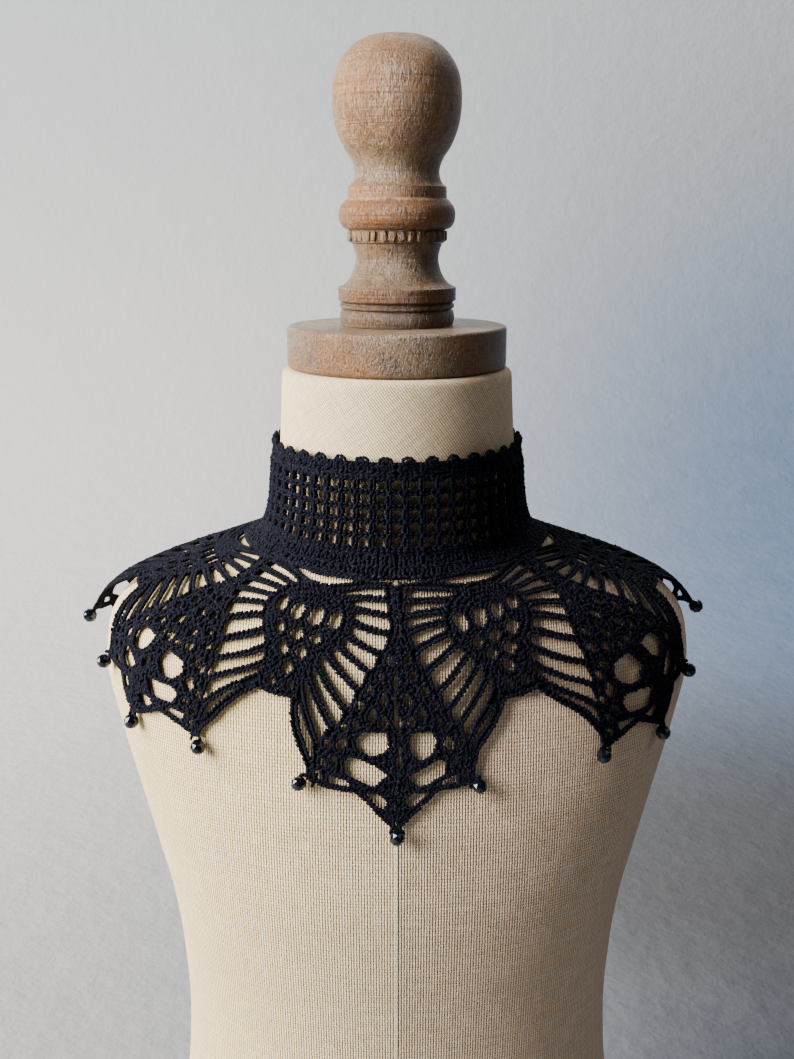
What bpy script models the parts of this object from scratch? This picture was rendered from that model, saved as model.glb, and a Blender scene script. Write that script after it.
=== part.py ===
# A crochet choker on a linen dress form: a collar band, a lace bib worked down from it, glass beads
# on the lace's tips, three buttons with chain loops at the back, and the form's turned wooden top.
# Metres, +Z up. The form stands on its flat base, centred on the origin, and faces -Y.

import math
from collections import namedtuple

import bmesh
import bpy
import numpy as np
from mathutils import Matrix, Vector, geometry

MM = 0.001

# Linen form. Each row is a level section, from the neck's top to the base; square is the power of
# its superellipse, 2 for an ellipse and more for a boxier one.
Section = namedtuple("Section", "height half_width front back square")
FORM_SECTIONS = [
    Section(0.4630, 0.0465, 0.0465, 0.0465, 2.00),
    Section(0.4320, 0.0482, 0.0480, 0.0480, 2.00),
    Section(0.4140, 0.0497, 0.0492, 0.0492, 2.00),
    Section(0.4040, 0.0514, 0.0503, 0.0508, 2.00),
    Section(0.3975, 0.0540, 0.0519, 0.0530, 2.00),
    Section(0.3936, 0.0583, 0.0538, 0.0556, 2.00),
    Section(0.3904, 0.0650, 0.0560, 0.0588, 2.05),
    Section(0.3836, 0.0850, 0.0602, 0.0638, 2.10),
    Section(0.3772, 0.1030, 0.0639, 0.0682, 2.15),
    Section(0.3685, 0.1160, 0.0678, 0.0724, 2.20),
    Section(0.3590, 0.1217, 0.0713, 0.0757, 2.25),
    Section(0.3440, 0.1234, 0.0758, 0.0790, 2.30),
    Section(0.3200, 0.1188, 0.0810, 0.0810, 2.35),
    Section(0.2960, 0.1127, 0.0848, 0.0795, 2.35),
    Section(0.2710, 0.1069, 0.0855, 0.0755, 2.30),
    Section(0.2370, 0.1000, 0.0820, 0.0700, 2.25),
    Section(0.2100, 0.0973, 0.0775, 0.0660, 2.20),
    Section(0.1800, 0.0960, 0.0735, 0.0630, 2.20),
    Section(0.1500, 0.0973, 0.0720, 0.0640, 2.20),
    Section(0.1250, 0.1003, 0.0740, 0.0690, 2.20),
    Section(0.0850, 0.1073, 0.0800, 0.0790, 2.25),
    Section(0.0400, 0.1135, 0.0840, 0.0850, 2.30),
    Section(0.0000, 0.1155, 0.0845, 0.0860, 2.30),
]
FORM_SIDES = 32
FORM_EDGE = 0.003  # rounding of the neck's rim and of the base's rim

# Wooden top: a disc on the neck and a turned finial on the disc
SEAT_GAP = 0.0003
DISC_RADIUS = 0.0444
DISC_HEIGHT = 0.0164
DISC_EDGE = 0.0012
FINIAL_SIDES = 20
Turning = namedtuple("Turning", "height radius")
FINIAL_PROFILE = [  # above the disc
    Turning(0.0000, 0.0225),
    Turning(0.0030, 0.0233),
    Turning(0.0078, 0.0231),
    Turning(0.0088, 0.0226),
    Turning(0.0097, 0.0236),
    Turning(0.0146, 0.0236),
    Turning(0.0165, 0.0203),
    Turning(0.0207, 0.0176),
    Turning(0.0262, 0.0165),
    Turning(0.0315, 0.0178),
    Turning(0.0322, 0.0190),
    Turning(0.0368, 0.0191),
    Turning(0.0376, 0.0212),
    Turning(0.0404, 0.0228),
    Turning(0.0448, 0.0227),
    Turning(0.0482, 0.0203),
    Turning(0.0487, 0.0196),
    Turning(0.0530, 0.0195),
    Turning(0.0545, 0.0177),
    Turning(0.0587, 0.0166),
    Turning(0.0634, 0.0180),
    Turning(0.0690, 0.0215),
    Turning(0.0770, 0.0243),
    Turning(0.0870, 0.0250),
    Turning(0.0960, 0.0234),
    Turning(0.1035, 0.0182),
    Turning(0.1075, 0.0112),
    Turning(0.1093, 0.0000),
]

# Crochet cloth
WALL = 0.0020
FORM_GAP = 0.0007  # between the cloth and the linen
SEAM_GAP = 0.0004
COLLAR_TOP = 0.4360
COLLAR_DEPTH = 0.0485  # down the neck, from the top edge to the bib
COLLAR_EASE = 0.0006  # extra room round the neck at the top edge
PICOTS = 36
PICOT_HEIGHT = 0.0026
COLUMNS_PER_PICOT = 3
COLLAR_ROWS = (0.0095, 0.0230, 0.0340, 0.0420)  # depths below the top edge

# Bib chart. A repeat is one leaf with half a cone motif on each side. r runs outward from the
# collar, and across from the leaf's or the cone's own middle line. All in millimetres, laid flat.
# Leaves lie at the front and at one, two and three repeats to each side, cones between them.
SIDE_REPEATS = 3
REPEAT_LAP = 53.0  # degrees of the way round
REPEAT_WIDTH = 53.9  # at the collar
REPEAT_SPREAD = 0.636  # growth of a repeat's width for each millimetre of r
CHAIN_WIDTH = 2.7
BACK_OPENING = 0.8  # half the gap between the collar's back edges

EdgePoint = namedtuple("EdgePoint", "r across")
LEAF_EDGE = [
    EdgePoint(0.4, 4.0),
    EdgePoint(2.5, 2.6),
    EdgePoint(19.0, 2.6),
    EdgePoint(26.0, 6.0),
    EdgePoint(34.0, 9.2),
    EdgePoint(48.0, 17.0),
    EdgePoint(58.0, 23.2),
    EdgePoint(66.0, 28.5),
    EdgePoint(73.4, 32.4),
]
LEAF_HEM = [
    EdgePoint(75.4, 34.2),
    EdgePoint(79.0, 35.0),
    EdgePoint(80.6, 32.6),
    EdgePoint(80.8, 26.0),
    EdgePoint(80.5, 16.0),
    EdgePoint(86.5, 8.6),
    EdgePoint(91.2, 1.8),
]
LEAF_TIP_R = 91.8
CONE_EDGE = [
    EdgePoint(7.0, 6.0),
    EdgePoint(8.5, 9.0),
    EdgePoint(12.0, 12.6),
    EdgePoint(16.0, 14.8),
    EdgePoint(22.0, 15.6),
    EdgePoint(27.0, 14.4),
    EdgePoint(31.0, 11.6),
    EdgePoint(36.0, 8.8),
    EdgePoint(42.0, 7.2),
    EdgePoint(50.2, 6.4),
]
CONE_FOOT_R = 52.0

# Chains from a leaf's edge to a cone's edge, from the collar down
Chain = namedtuple("Chain", "leaf_r cone_r")
CHAINS = [
    Chain(1.4, 7.4),
    Chain(7.2, 10.2),
    Chain(13.6, 13.4),
    Chain(20.2, 17.6),
    Chain(27.2, 22.2),
    Chain(34.6, 26.6),
    Chain(42.0, 31.0),
    Chain(50.0, 35.6),
    Chain(58.0, 40.6),
    Chain(66.0, 45.6),
    Chain(73.4, 49.8),
]
NARROWEST_GAP = 0.8
LONGEST_EDGE = 9.5

# Gaps between a leaf's veins, on each side of its midrib: the corners (r, across) of each
LEAF_GAPS = {
    "stem_pair": [(41.8, 3.6), (45.2, 5.7), (49.0, 4.8), (45.6, 2.5)],
    "shoulder": [(47.4, 8.2), (50.2, 10.6), (53.4, 9.6), (50.6, 7.0)],
    "upper_window": [(56.6, 4.0), (56.4, 12.4), (60.5, 15.2), (64.6, 13.4), (66.4, 8.6), (63.0, 3.9)],
    "edge": [(59.6, 18.8), (63.0, 21.9), (66.4, 21.4), (63.2, 17.6)],
    "lower_window": [(72.6, 3.8), (69.4, 9.4), (67.3, 15.6), (69.4, 18.8), (74.0, 18.4), (77.4, 9.2)],
    "hem": [(75.0, 25.4), (76.6, 17.4), (78.3, 17.4), (78.5, 25.6)],
    "tip": [(79.8, 12.2), (79.4, 6.6), (82.2, 3.5), (84.8, 6.2), (82.6, 9.6)],
}

# Slits in a leaf's midrib. The front leaf's are notches in the seam between the two halves.
LeafSlit = namedtuple("LeafSlit", "r half_width half_height")
LEAF_SLITS = [LeafSlit(38.0, 1.5, 3.6), LeafSlit(53.0, 1.7, 3.5), LeafSlit(67.5, 1.5, 3.6)]

# Rows of gaps in a cone motif, fewer and smaller towards its foot
ConeRow = namedtuple("ConeRow", "r count pitch half_width half_height corners")
CONE_ROWS = [
    ConeRow(18.6, 4, 6.7, 2.4, 4.0, 6),
    ConeRow(27.2, 3, 6.5, 2.4, 3.1, 4),
    ConeRow(33.7, 2, 6.5, 2.3, 3.0, 4),
    ConeRow(40.0, 1, 6.5, 2.3, 3.0, 4),
]
SLIT = [EdgePoint(1.4, 14.5), EdgePoint(3.6, 9.8), EdgePoint(5.0, 5.0), EdgePoint(5.3, 0.0)]
SLIT_TOP_R = 1.4
SEAM_POINTS = 13
TOP_POINTS = 34
FILL_STEP = 8.0
FILL_CLEARANCE = 2.8
SLIVER = 0.002  # square millimetres, for the triangles left outside a straight edge

# How far the lace stands off the form at the left and the right shoulder's end
SHOULDER_LIFTS = (0.0065, 0.0038)
SHOULDER_LAP = 91.0
SHOULDER_REACH = 26.0
SHOULDER_START_R = 34.0
SHOULDER_END_R = 80.0

# How far the lace hangs outward (degrees) and down (millimetres) from its even spread, on the
# left and right halves
Hang = namedtuple("Hang", "lap out_left out_right down_left down_right")
HANGS = [
    Hang(6.0, 0.0, 0.0, 0.0, 0.0),
    Hang(18.2, 1.0, -2.3, -1.3, -2.7),
    Hang(34.8, 6.9, 9.0, 3.1, 8.8),
    Hang(53.0, 7.9, 9.0, -1.5, 4.4),
    Hang(71.2, 0.2, -0.6, -3.2, -0.4),
    Hang(88.0, 1.6, 2.6, -6.8, -10.4),
    Hang(112.0, 0.0, 0.0, 0.0, 0.0),
]
HANG_START_R = 34.0
HANG_END_R = 86.0

# Beads, buttons and loops
BEAD_RADIUS = 0.0031
BEAD_HALF_LENGTH = 0.0028
BEAD_SIDES = 8
BUTTON_DEPTHS = (0.0095, 0.0235, 0.0375)  # below the collar's top edge
BUTTON_OFFSET = 6.5  # millimetres from the back opening
BUTTON_RADIUS = 0.0044
BUTTON_HEIGHT = 0.0022
BUTTON_SHANK = 0.0012
BUTTON_SEAT = 0.0007  # above the collar's outer face
BUTTON_SIDES = 14
LOOP_RADIUS = 0.0006
LOOP_END = 4.5  # millimetres past the opening, on the other half

MATERIALS = {  # colour, roughness
    "linen": ((0.72, 0.63, 0.48), 0.9),
    "wood": ((0.42, 0.29, 0.19), 0.6),
    "yarn": ((0.012, 0.014, 0.028), 0.85),
    "bead": ((0.006, 0.007, 0.012), 0.08),
    "button": ((0.010, 0.011, 0.016), 0.3),
}


def clear_scene():
    for obj in list(bpy.data.objects):
        bpy.data.objects.remove(obj, do_unlink=True)


def make_material(name):
    colour, roughness = MATERIALS[name]
    material = bpy.data.materials.new(name)
    material.use_nodes = True
    shader = material.node_tree.nodes["Principled BSDF"]
    shader.inputs["Base Color"].default_value = (*colour, 1.0)
    shader.inputs["Roughness"].default_value = roughness
    shader.inputs["Metallic"].default_value = 0.0
    return material


def add_object(name, data, material, smooth_angle=None):
    obj = bpy.data.objects.new(name, data)
    obj.data.materials.append(material)
    bpy.context.scene.collection.objects.link(obj)
    if smooth_angle is not None:
        data.shade_smooth()
        data.set_sharp_from_angle(angle=math.radians(smooth_angle))
    return obj


def mesh_from(bm, name):
    mesh = bpy.data.meshes.new(name)
    bmesh.ops.recalc_face_normals(bm, faces=bm.faces)
    bm.to_mesh(mesh)
    bm.free()
    return mesh


# The form's surface and the cloth that follows it


def smooth_column(knots, values, at):
    # Cubic through the values that never overshoots them
    knots, values, at = (np.asarray(x, float) for x in (knots, values, at))
    steps = np.diff(knots)
    rises = np.diff(values) / steps
    slopes = np.zeros(len(values))
    same_way = rises[:-1] * rises[1:] > 0
    pairs = np.where(same_way, rises[:-1] + rises[1:], 1.0)
    slopes[1:-1] = np.where(same_way, 2 * rises[:-1] * rises[1:] / pairs, 0.0)
    slopes[0], slopes[-1] = rises[0], rises[-1]
    i = np.clip(np.searchsorted(knots, at) - 1, 0, len(steps) - 1)
    t = (at - knots[i]) / steps[i]
    return (
        values[i] * (1 + 2 * t) * (1 - t) ** 2
        + slopes[i] * steps[i] * t * (1 - t) ** 2
        + values[i + 1] * t**2 * (3 - 2 * t)
        + slopes[i + 1] * steps[i] * t**2 * (t - 1)
    )


def section_knots():
    table = np.array(FORM_SECTIONS)
    moves = np.linalg.norm(np.diff(table[:, :3], axis=0), axis=1)
    return np.concatenate([[0.0], np.cumsum(moves)])


def sections_at(places):
    # One row of section values for each place along the sections
    table = np.array(FORM_SECTIONS)
    knots = section_knots()
    return np.stack([smooth_column(knots, column, places) for column in table.T], axis=-1)


def ring_point(section, around):
    # Points of level sections at angles from the front, towards +X, in radians
    height, half_width, front, back, square = np.moveaxis(np.asarray(section), -1, 0)
    across, along = np.sin(around), np.cos(around)
    depth = np.where(along > 0, front, back)
    swell = (np.abs(across) ** square + np.abs(along) ** square) ** (-1 / square)
    return np.stack([swell * half_width * across, -swell * depth * along, height + 0 * across], axis=-1)


def collar_start():
    # Place along the sections at the height of the collar's top edge
    places = np.linspace(0, section_knots()[-1], 4001)
    heights = sections_at(places)[:, 0]
    return np.interp(-COLLAR_TOP, -heights, places)


def form_points(turns, depths):
    # Points of the form at angles from the front, in degrees, and lengths down its surface
    turns, depths = np.broadcast_arrays(np.asarray(turns, float), np.asarray(depths, float))
    above, step = 20, 0.0005
    sections = sections_at(collar_start() + step * np.arange(-above, 500))
    lines = ring_point(sections[None], np.radians(turns.reshape(-1, 1)))
    lengths = np.linalg.norm(np.diff(lines, axis=1), axis=2).cumsum(axis=1)
    lengths = np.insert(lengths, 0, 0.0, axis=1)
    lengths -= lengths[:, above : above + 1]
    wanted = depths.reshape(-1, 1)
    i = np.clip((lengths < wanted).sum(axis=1) - 1, 0, lengths.shape[1] - 2)
    row = np.arange(len(i))
    before, after = lengths[row, i], lengths[row, i + 1]
    share = ((wanted[:, 0] - before) / (after - before))[:, None]
    points = lines[row, i] * (1 - share) + lines[row, i + 1] * share
    return points.reshape(*turns.shape, 3)


# Cloth is spread evenly round the form. A lap is a share of the way round it, as an angle: 0 at
# the front, 180 at the back. The table gives the form's angle for laps and lengths down it.
LAP_STEP = 2.0
DEPTH_STEP = 0.003
TABLE_TOP = -0.006
TABLE_ROWS = 60


def turn_table():
    laps = np.arange(0, 180 + LAP_STEP / 2, LAP_STEP)
    depths = TABLE_TOP + DEPTH_STEP * np.arange(TABLE_ROWS)
    rings = form_points(laps[None], depths[:, None])
    lengths = np.linalg.norm(np.diff(rings, axis=1), axis=2).cumsum(axis=1)
    lengths = np.insert(lengths, 0, 0.0, axis=1)
    return np.array([np.interp(laps / 180 * row[-1], row, laps) for row in lengths])


TURN_TABLE = turn_table()


def turn_at(laps, depths):
    column = np.clip(np.abs(laps) / LAP_STEP, 0, TURN_TABLE.shape[1] - 1.0001)
    row = np.clip((depths - TABLE_TOP) / DEPTH_STEP, 0, TABLE_ROWS - 1.0001)
    j, i = column.astype(int), row.astype(int)
    right, down = column - j, row - i
    upper = TURN_TABLE[i, j] * (1 - right) + TURN_TABLE[i, j + 1] * right
    lower = TURN_TABLE[i + 1, j] * (1 - right) + TURN_TABLE[i + 1, j + 1] * right
    return np.sign(laps) * (upper * (1 - down) + lower * down)


def shoulder_share(laps, depths):
    r = (depths - COLLAR_DEPTH) / MM
    run = np.clip((r - SHOULDER_START_R) / (SHOULDER_END_R - SHOULDER_START_R), 0, 1)
    side = np.clip(1 - np.abs(np.abs(laps) - SHOULDER_LAP) / SHOULDER_REACH, 0, 1)
    return run**1.5 * side**2 * (3 - 2 * side)


def hung(laps, depths):
    r = (depths - COLLAR_DEPTH) / MM
    run = np.clip((r - HANG_START_R) / (HANG_END_R - HANG_START_R), 0, 1)
    rows = np.array(HANGS)
    out_left, out_right, down_left, down_right = (
        np.interp(np.abs(laps), rows[:, 0], rows[:, i], right=0.0) * run**2 * (3 - 2 * run)
        for i in (1, 2, 3, 4)
    )
    out = np.sign(laps) * np.where(laps < 0, out_left, out_right)
    return laps + out, depths + MM * np.where(laps < 0, down_left, down_right)


def drape(laps, depths):
    laps, depths = np.broadcast_arrays(np.asarray(laps, float), np.asarray(depths, float))
    laps, depths = hung(laps, depths)
    return form_points(turn_at(laps, depths), depths)


def drape_normals(laps, depths):
    lap_step, depth_step = 0.5, 0.001
    over = drape(laps + lap_step, depths) - drape(laps - lap_step, depths)
    down = drape(laps, depths + depth_step) - drape(laps, depths - depth_step)
    normals = np.cross(down, over)
    return normals / np.linalg.norm(normals, axis=-1, keepdims=True)


def lift_at(laps, depths):
    # Extra room between cloth and form: at the collar's top, and at the shoulder's end
    top = COLLAR_EASE * np.clip(1 - depths / 0.03, 0, 1)
    return top + np.where(laps < 0, *SHOULDER_LIFTS) * shoulder_share(laps, depths)


def cloth_points(laps, depths, above):
    # Points moved out from the form: above is the height over the cloth's inner face
    laps, depths = (np.asarray(x, float) for x in (laps, depths))
    lift = FORM_GAP + above + lift_at(laps, depths)
    return drape(laps, depths) + drape_normals(laps, depths) * lift[..., None]


# The bib's chart


def repeat_width(r):
    return REPEAT_WIDTH + REPEAT_SPREAD * r


def edge_across(edge, r):
    return np.interp(r, [point.r for point in edge], [point.across for point in edge])


def on_leaf(leaf, side, across, r):
    # (lap, r) of a chart point given from a leaf's middle line
    return REPEAT_LAP * (leaf + side * across / repeat_width(r)), r


def on_cone(leaf, side, across, r):
    # (lap, r) of a chart point given from the middle of the cone after this leaf
    return REPEAT_LAP * (leaf + 0.5 + side * across / repeat_width(r)), r


def flat(point):
    # The chart laid flat, as a sector of a cone, in millimetres
    lap, r = point
    angle = REPEAT_SPREAD * lap / REPEAT_LAP
    radius = REPEAT_WIDTH / REPEAT_SPREAD + r
    return np.array([radius * math.sin(angle), radius * math.cos(angle)])


def unflat(points):
    radius = np.hypot(points[:, 0], points[:, 1])
    laps = np.arctan2(points[:, 0], points[:, 1]) * REPEAT_LAP / REPEAT_SPREAD
    return laps, radius - REPEAT_WIDTH / REPEAT_SPREAD


def half_outline():
    # The bib's outline from the centre front round to the last leaf's back edge, laid flat
    half_gap = SEAM_GAP / MM / 2
    seam = [(r, half_gap) for r in np.linspace(SEAM_GAP / MM, LEAF_TIP_R, SEAM_POINTS)]
    for slit in LEAF_SLITS:
        seam = [(r, across) for r, across in seam if abs(r - slit.r) > slit.half_height + 0.6]
        seam += [(slit.r - slit.half_height, half_gap), (slit.r, slit.half_width)]
        seam.append((slit.r + slit.half_height, half_gap))
    points = [on_leaf(0, 1, across, r) for r, across in sorted(seam)]
    for leaf in range(SIDE_REPEATS):
        points += [on_leaf(leaf, 1, p.across, p.r) for p in reversed(LEAF_HEM)]
        foot = CONE_EDGE[-1]
        points.append(on_cone(leaf, -1, foot.across - 0.8, foot.r + 0.9))
        points.append(on_cone(leaf, 1, 0.0, CONE_FOOT_R))
        points.append(on_cone(leaf, 1, foot.across - 0.8, foot.r + 0.9))
        points += [on_leaf(leaf + 1, -1, p.across, p.r) for p in LEAF_HEM]
        points.append(on_leaf(leaf + 1, 1, 0.0, LEAF_TIP_R))
    back = reversed(LEAF_EDGE + LEAF_HEM)
    points += [on_leaf(SIDE_REPEATS, 1, p.across, p.r) for p in back]
    top_laps = np.linspace(points[-1][0], 0, TOP_POINTS)[1:-1]
    points += [(lap, SEAM_GAP / MM) for lap in top_laps]
    return [flat(point) for point in points]


def chain_gaps(leaf, side):
    # Gaps between neighbouring chains on one side of a leaf, laid flat
    ends = []
    for chain in CHAINS:
        start = flat(on_leaf(leaf, side, edge_across(LEAF_EDGE, chain.leaf_r), chain.leaf_r))
        cone = leaf if side > 0 else leaf - 1
        across = edge_across(CONE_EDGE, chain.cone_r)
        ends.append((start, flat(on_cone(cone, -side, across, chain.cone_r))))
    gaps = []
    for upper, lower in zip(ends, ends[1:]):
        sides = []
        for (start, end), towards in ((upper, lower), (lower, upper)):
            run = (end - start) / np.linalg.norm(end - start)
            normal = np.array([-run[1], run[0]])
            normal *= math.copysign(1, np.dot(normal, towards[0] - start))
            sides.append((start + normal * CHAIN_WIDTH / 2, end + normal * CHAIN_WIDTH / 2, normal))
        (a0, a1, normal), (b0, b1, _) = sides
        wide, narrow = np.dot(b0 - a0, normal), np.dot(b1 - a1, normal)
        reach = min(0.97, (wide - NARROWEST_GAP) / max(wide - narrow, 1e-6))
        upper_ends = [a0 + (a1 - a0) * share for share in (0.04, reach)]
        gaps.append(upper_ends + [b0 + (b1 - b0) * share for share in (reach, 0.04)])
    return gaps


def leaf_gaps(leaf, side):
    return [[flat(on_leaf(leaf, side, across, r)) for r, across in gap] for gap in LEAF_GAPS.values()]


def midrib_gaps(leaf):
    gaps = []
    for slit in LEAF_SLITS:
        ends = [(slit.r - slit.half_height, 0.0), (slit.r + slit.half_height, 0.0)]
        sides = [(slit.r, -slit.half_width), (slit.r, slit.half_width)]
        loop = [ends[0], sides[0], ends[1], sides[1]]
        gaps.append([flat(on_leaf(leaf, 1, across, r)) for r, across in loop])
    return gaps


def cone_gaps(leaf):
    # The net inside a cone motif, and the slit between its crown and the collar
    gaps = []
    for row in CONE_ROWS:
        for i in range(row.count):
            middle = (i - (row.count - 1) / 2) * row.pitch
            loop = []
            for corner in range(row.corners):
                angle = 2 * math.pi * corner / row.corners
                across = middle + row.half_width * math.sin(angle)
                r = row.r - row.half_height * math.cos(angle)
                loop.append(flat(on_cone(leaf, 1, across, r)))
            gaps.append(loop)
    rim = [(point.across, point.r) for point in SLIT]
    rim += [(-point.across, point.r) for point in reversed(SLIT[:-1])]
    rim += [(across, SLIT_TOP_R) for across in (-7.0, 0.0, 7.0)]
    gaps.append([flat(on_cone(leaf, 1, across, r)) for across, r in rim])
    return gaps


def split_long(loop):
    # The loop with its long edges cut into equal pieces
    cut = []
    for start, end in zip(loop, loop[1:] + loop[:1]):
        pieces = math.ceil(np.linalg.norm(end - start) / LONGEST_EDGE)
        cut += [start + (end - start) * i / pieces for i in range(pieces)]
    return cut


def inside(points, loop):
    loop = np.array(loop)
    ends = np.roll(loop, -1, axis=0)
    x, y = points[:, :1], points[:, 1:]
    crosses = (loop[:, 1] > y) != (ends[:, 1] > y)
    rise = np.where(ends[:, 1] == loop[:, 1], 1e-12, ends[:, 1] - loop[:, 1])
    at = loop[:, 0] + (y - loop[:, 1]) * (ends[:, 0] - loop[:, 0]) / rise
    return (crosses & (x < at)).sum(axis=1) % 2 == 1


def far_from(points, loops, clearance):
    clear = np.ones(len(points), bool)
    for loop in loops:
        loop = np.array(loop)
        run = np.roll(loop, -1, axis=0) - loop
        offset = points[:, None] - loop[None]
        along = np.clip((offset * run).sum(-1) / (run**2).sum(-1), 0, 1)
        clear &= np.linalg.norm(offset - along[..., None] * run, axis=-1).min(axis=1) > clearance
    return clear


def half_sheet():
    # Triangles of half the bib, with its gaps cut out: flat points and faces
    gaps = []
    for leaf in range(SIDE_REPEATS):
        gaps += chain_gaps(leaf, 1) + chain_gaps(leaf + 1, -1)
        gaps += leaf_gaps(leaf, 1) + leaf_gaps(leaf + 1, -1) + midrib_gaps(leaf + 1)
        gaps += cone_gaps(leaf)
    outline = half_outline()
    loops = [split_long(loop) for loop in (outline, *gaps)]
    fill = []
    for r in np.arange(5.0, LEAF_TIP_R, FILL_STEP):
        count = round(180 / REPEAT_LAP * repeat_width(r) / FILL_STEP)
        fill += [flat((lap, r)) for lap in np.linspace(0, 180, count)]
    fill = np.array(fill)
    fill = fill[inside(fill, outline) & far_from(fill, loops, FILL_CLEARANCE)]
    points, edges = [], []
    for loop in loops:
        first, count = len(points), len(loop)
        edges += [(first + i, first + (i + 1) % count) for i in range(count)]
        points += loop
    points += list(fill)
    made = geometry.delaunay_2d_cdt([Vector(p) for p in points], edges, [], 0, 1e-4, False)
    points = np.array([tuple(p) for p in made[0]])
    faces = np.array([tuple(face) for face in made[2]])
    middles = points[faces].mean(axis=1)
    a, b = (points[faces[:, i]] - points[faces[:, 0]] for i in (1, 2))
    kept = inside(middles, outline) & (np.abs(a[:, 0] * b[:, 1] - a[:, 1] * b[:, 0]) > SLIVER)
    for gap in gaps:
        kept &= ~inside(middles, gap)
    print(f"bib half: {len(gaps)} gaps, {kept.sum()} flat triangles, {len(fill)} fill points")
    return points, faces[kept]


# Solids


def make_form(material):
    knots = section_knots()
    heights = np.array([section.height for section in FORM_SECTIONS])
    places = [float(np.interp(-(heights[0] - FORM_EDGE), -heights, knots))]
    places += list(knots[1:-1])
    places.append(float(np.interp(-FORM_EDGE, -heights, knots)))
    rings = [(section, 0.0, section[0]) for section in sections_at(np.array(places))]
    rim_rings = [(FORM_EDGE, 0.0), (0.3 * FORM_EDGE, 0.3 * FORM_EDGE)]
    top, base = rings[0][0], rings[-1][0]
    rings = [(top, inset, heights[0] - drop) for inset, drop in rim_rings] + rings
    rings += [(base, inset, drop) for inset, drop in reversed(rim_rings)]
    bm = bmesh.new()
    around = np.arange(FORM_SIDES) * 2 * math.pi / FORM_SIDES
    loops = []
    for section, inset, height in rings:
        level = np.array([height, *(section[1:4] - inset), section[4]])
        points = ring_point(np.broadcast_to(level, (FORM_SIDES, 5)), around)
        loops.append([bm.verts.new(point) for point in points])
    for upper, lower in zip(loops, loops[1:]):
        for i in range(FORM_SIDES):
            j = (i + 1) % FORM_SIDES
            bm.faces.new((upper[i], lower[i], lower[j], upper[j]))
    bm.faces.new(loops[0])
    bm.faces.new(loops[-1])
    add_object("form_linen", mesh_from(bm, "form_linen"), material, 50)


def turned(profile, sides, name):
    # A solid of revolution about Z. The profile starts on the axis and ends on it.
    bm = bmesh.new()
    verts = [bm.verts.new((radius, 0, height)) for height, radius in profile]
    edges = [bm.edges.new(pair) for pair in zip(verts, verts[1:])]
    full = 2 * math.pi
    bmesh.ops.spin(
        bm, geom=verts + edges, axis=(0, 0, 1), cent=(0, 0, 0), steps=sides, angle=full, use_merge=True
    )
    bmesh.ops.remove_doubles(bm, verts=bm.verts, dist=1e-6)
    return mesh_from(bm, name)


def make_wooden_top(material):
    bottom = FORM_SECTIONS[0].height + SEAT_GAP
    top = bottom + DISC_HEIGHT
    disc = [
        (bottom, 0),
        (bottom, DISC_RADIUS - DISC_EDGE),
        (bottom + DISC_EDGE, DISC_RADIUS),
        (top - DISC_EDGE, DISC_RADIUS),
        (top, DISC_RADIUS - DISC_EDGE),
        (top, 0),
    ]
    add_object("neck_disc", turned(disc, 2 * FINIAL_SIDES, "neck_disc"), material, 50)
    seat = top + SEAT_GAP
    finial = [(seat, 0)] + [(seat + row.height, row.radius) for row in FINIAL_PROFILE]
    add_object("finial", turned(finial, FINIAL_SIDES, "finial"), material, 50)


def cloth_wall(name, laps, depths, faces, material):
    # A wall of cloth from one sheet of the chart: its outer side, its inner side and its rims
    count = len(laps)
    points = [*cloth_points(laps, depths, WALL), *cloth_points(laps, depths, 0.0)]
    faces = [tuple(int(i) for i in face) for face in faces]
    edges = {edge for face in faces for edge in zip(face, face[1:] + face[:1])}
    rims = [(b, a, a + count, b + count) for a, b in edges if (b, a) not in edges]
    inner = [tuple(i + count for i in reversed(face)) for face in faces]
    bm = bmesh.new()
    verts = [bm.verts.new(point) for point in points]
    for face in [*faces, *inner, *rims]:
        bm.faces.new([verts[i] for i in face])
    add_object(name, mesh_from(bm, name), material, 60)


def make_collar(side, name, material):
    # Half the band: a grid of columns round the neck, with scallops along its top edge
    columns = PICOTS * COLUMNS_PER_PICOT // 2
    front_gap = math.degrees(SEAM_GAP / 2 / FORM_SECTIONS[0].half_width)
    back_gap = math.degrees(BACK_OPENING * MM / FORM_SECTIONS[0].half_width)
    laps = np.arange(columns + 1) * 180 / columns
    scallops = PICOT_HEIGHT * (1 - np.abs(np.sin(np.radians(laps * PICOTS / 2))))
    laps[0], laps[-1] = front_gap, 180 - back_gap
    depths = [scallops]
    depths += [np.full(columns + 1, depth) for depth in (*COLLAR_ROWS, COLLAR_DEPTH)]
    wide = columns + 1
    faces = []
    for row in range(len(depths) - 1):
        for i in range(columns):
            a = row * wide + i
            faces.append((a, a + 1, a + 1 + wide, a + wide))
    laps = side * np.tile(laps, len(depths))
    cloth_wall(name, laps, np.concatenate(depths), faces, material)


def make_bib(side, name, sheet, material):
    points, faces = sheet
    laps, r = unflat(points)
    cloth_wall(name, side * laps, COLLAR_DEPTH + r * MM, faces, material)


def cloth_frame(lap, depth, above, towards):
    # Matrix at a point over the cloth: Z out, X towards the chart direction (lap, depth)
    here = cloth_points(lap, depth, above)
    there = cloth_points(lap + towards[0], depth + towards[1], above)
    out = Vector(drape_normals(np.float64(lap), np.float64(depth)))
    ahead = Vector(there - here)
    ahead = (ahead - out * ahead.dot(out)).normalized()
    frame = Matrix((ahead, out.cross(ahead), out)).transposed().to_4x4()
    frame.translation = Vector(here)
    return frame


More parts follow.
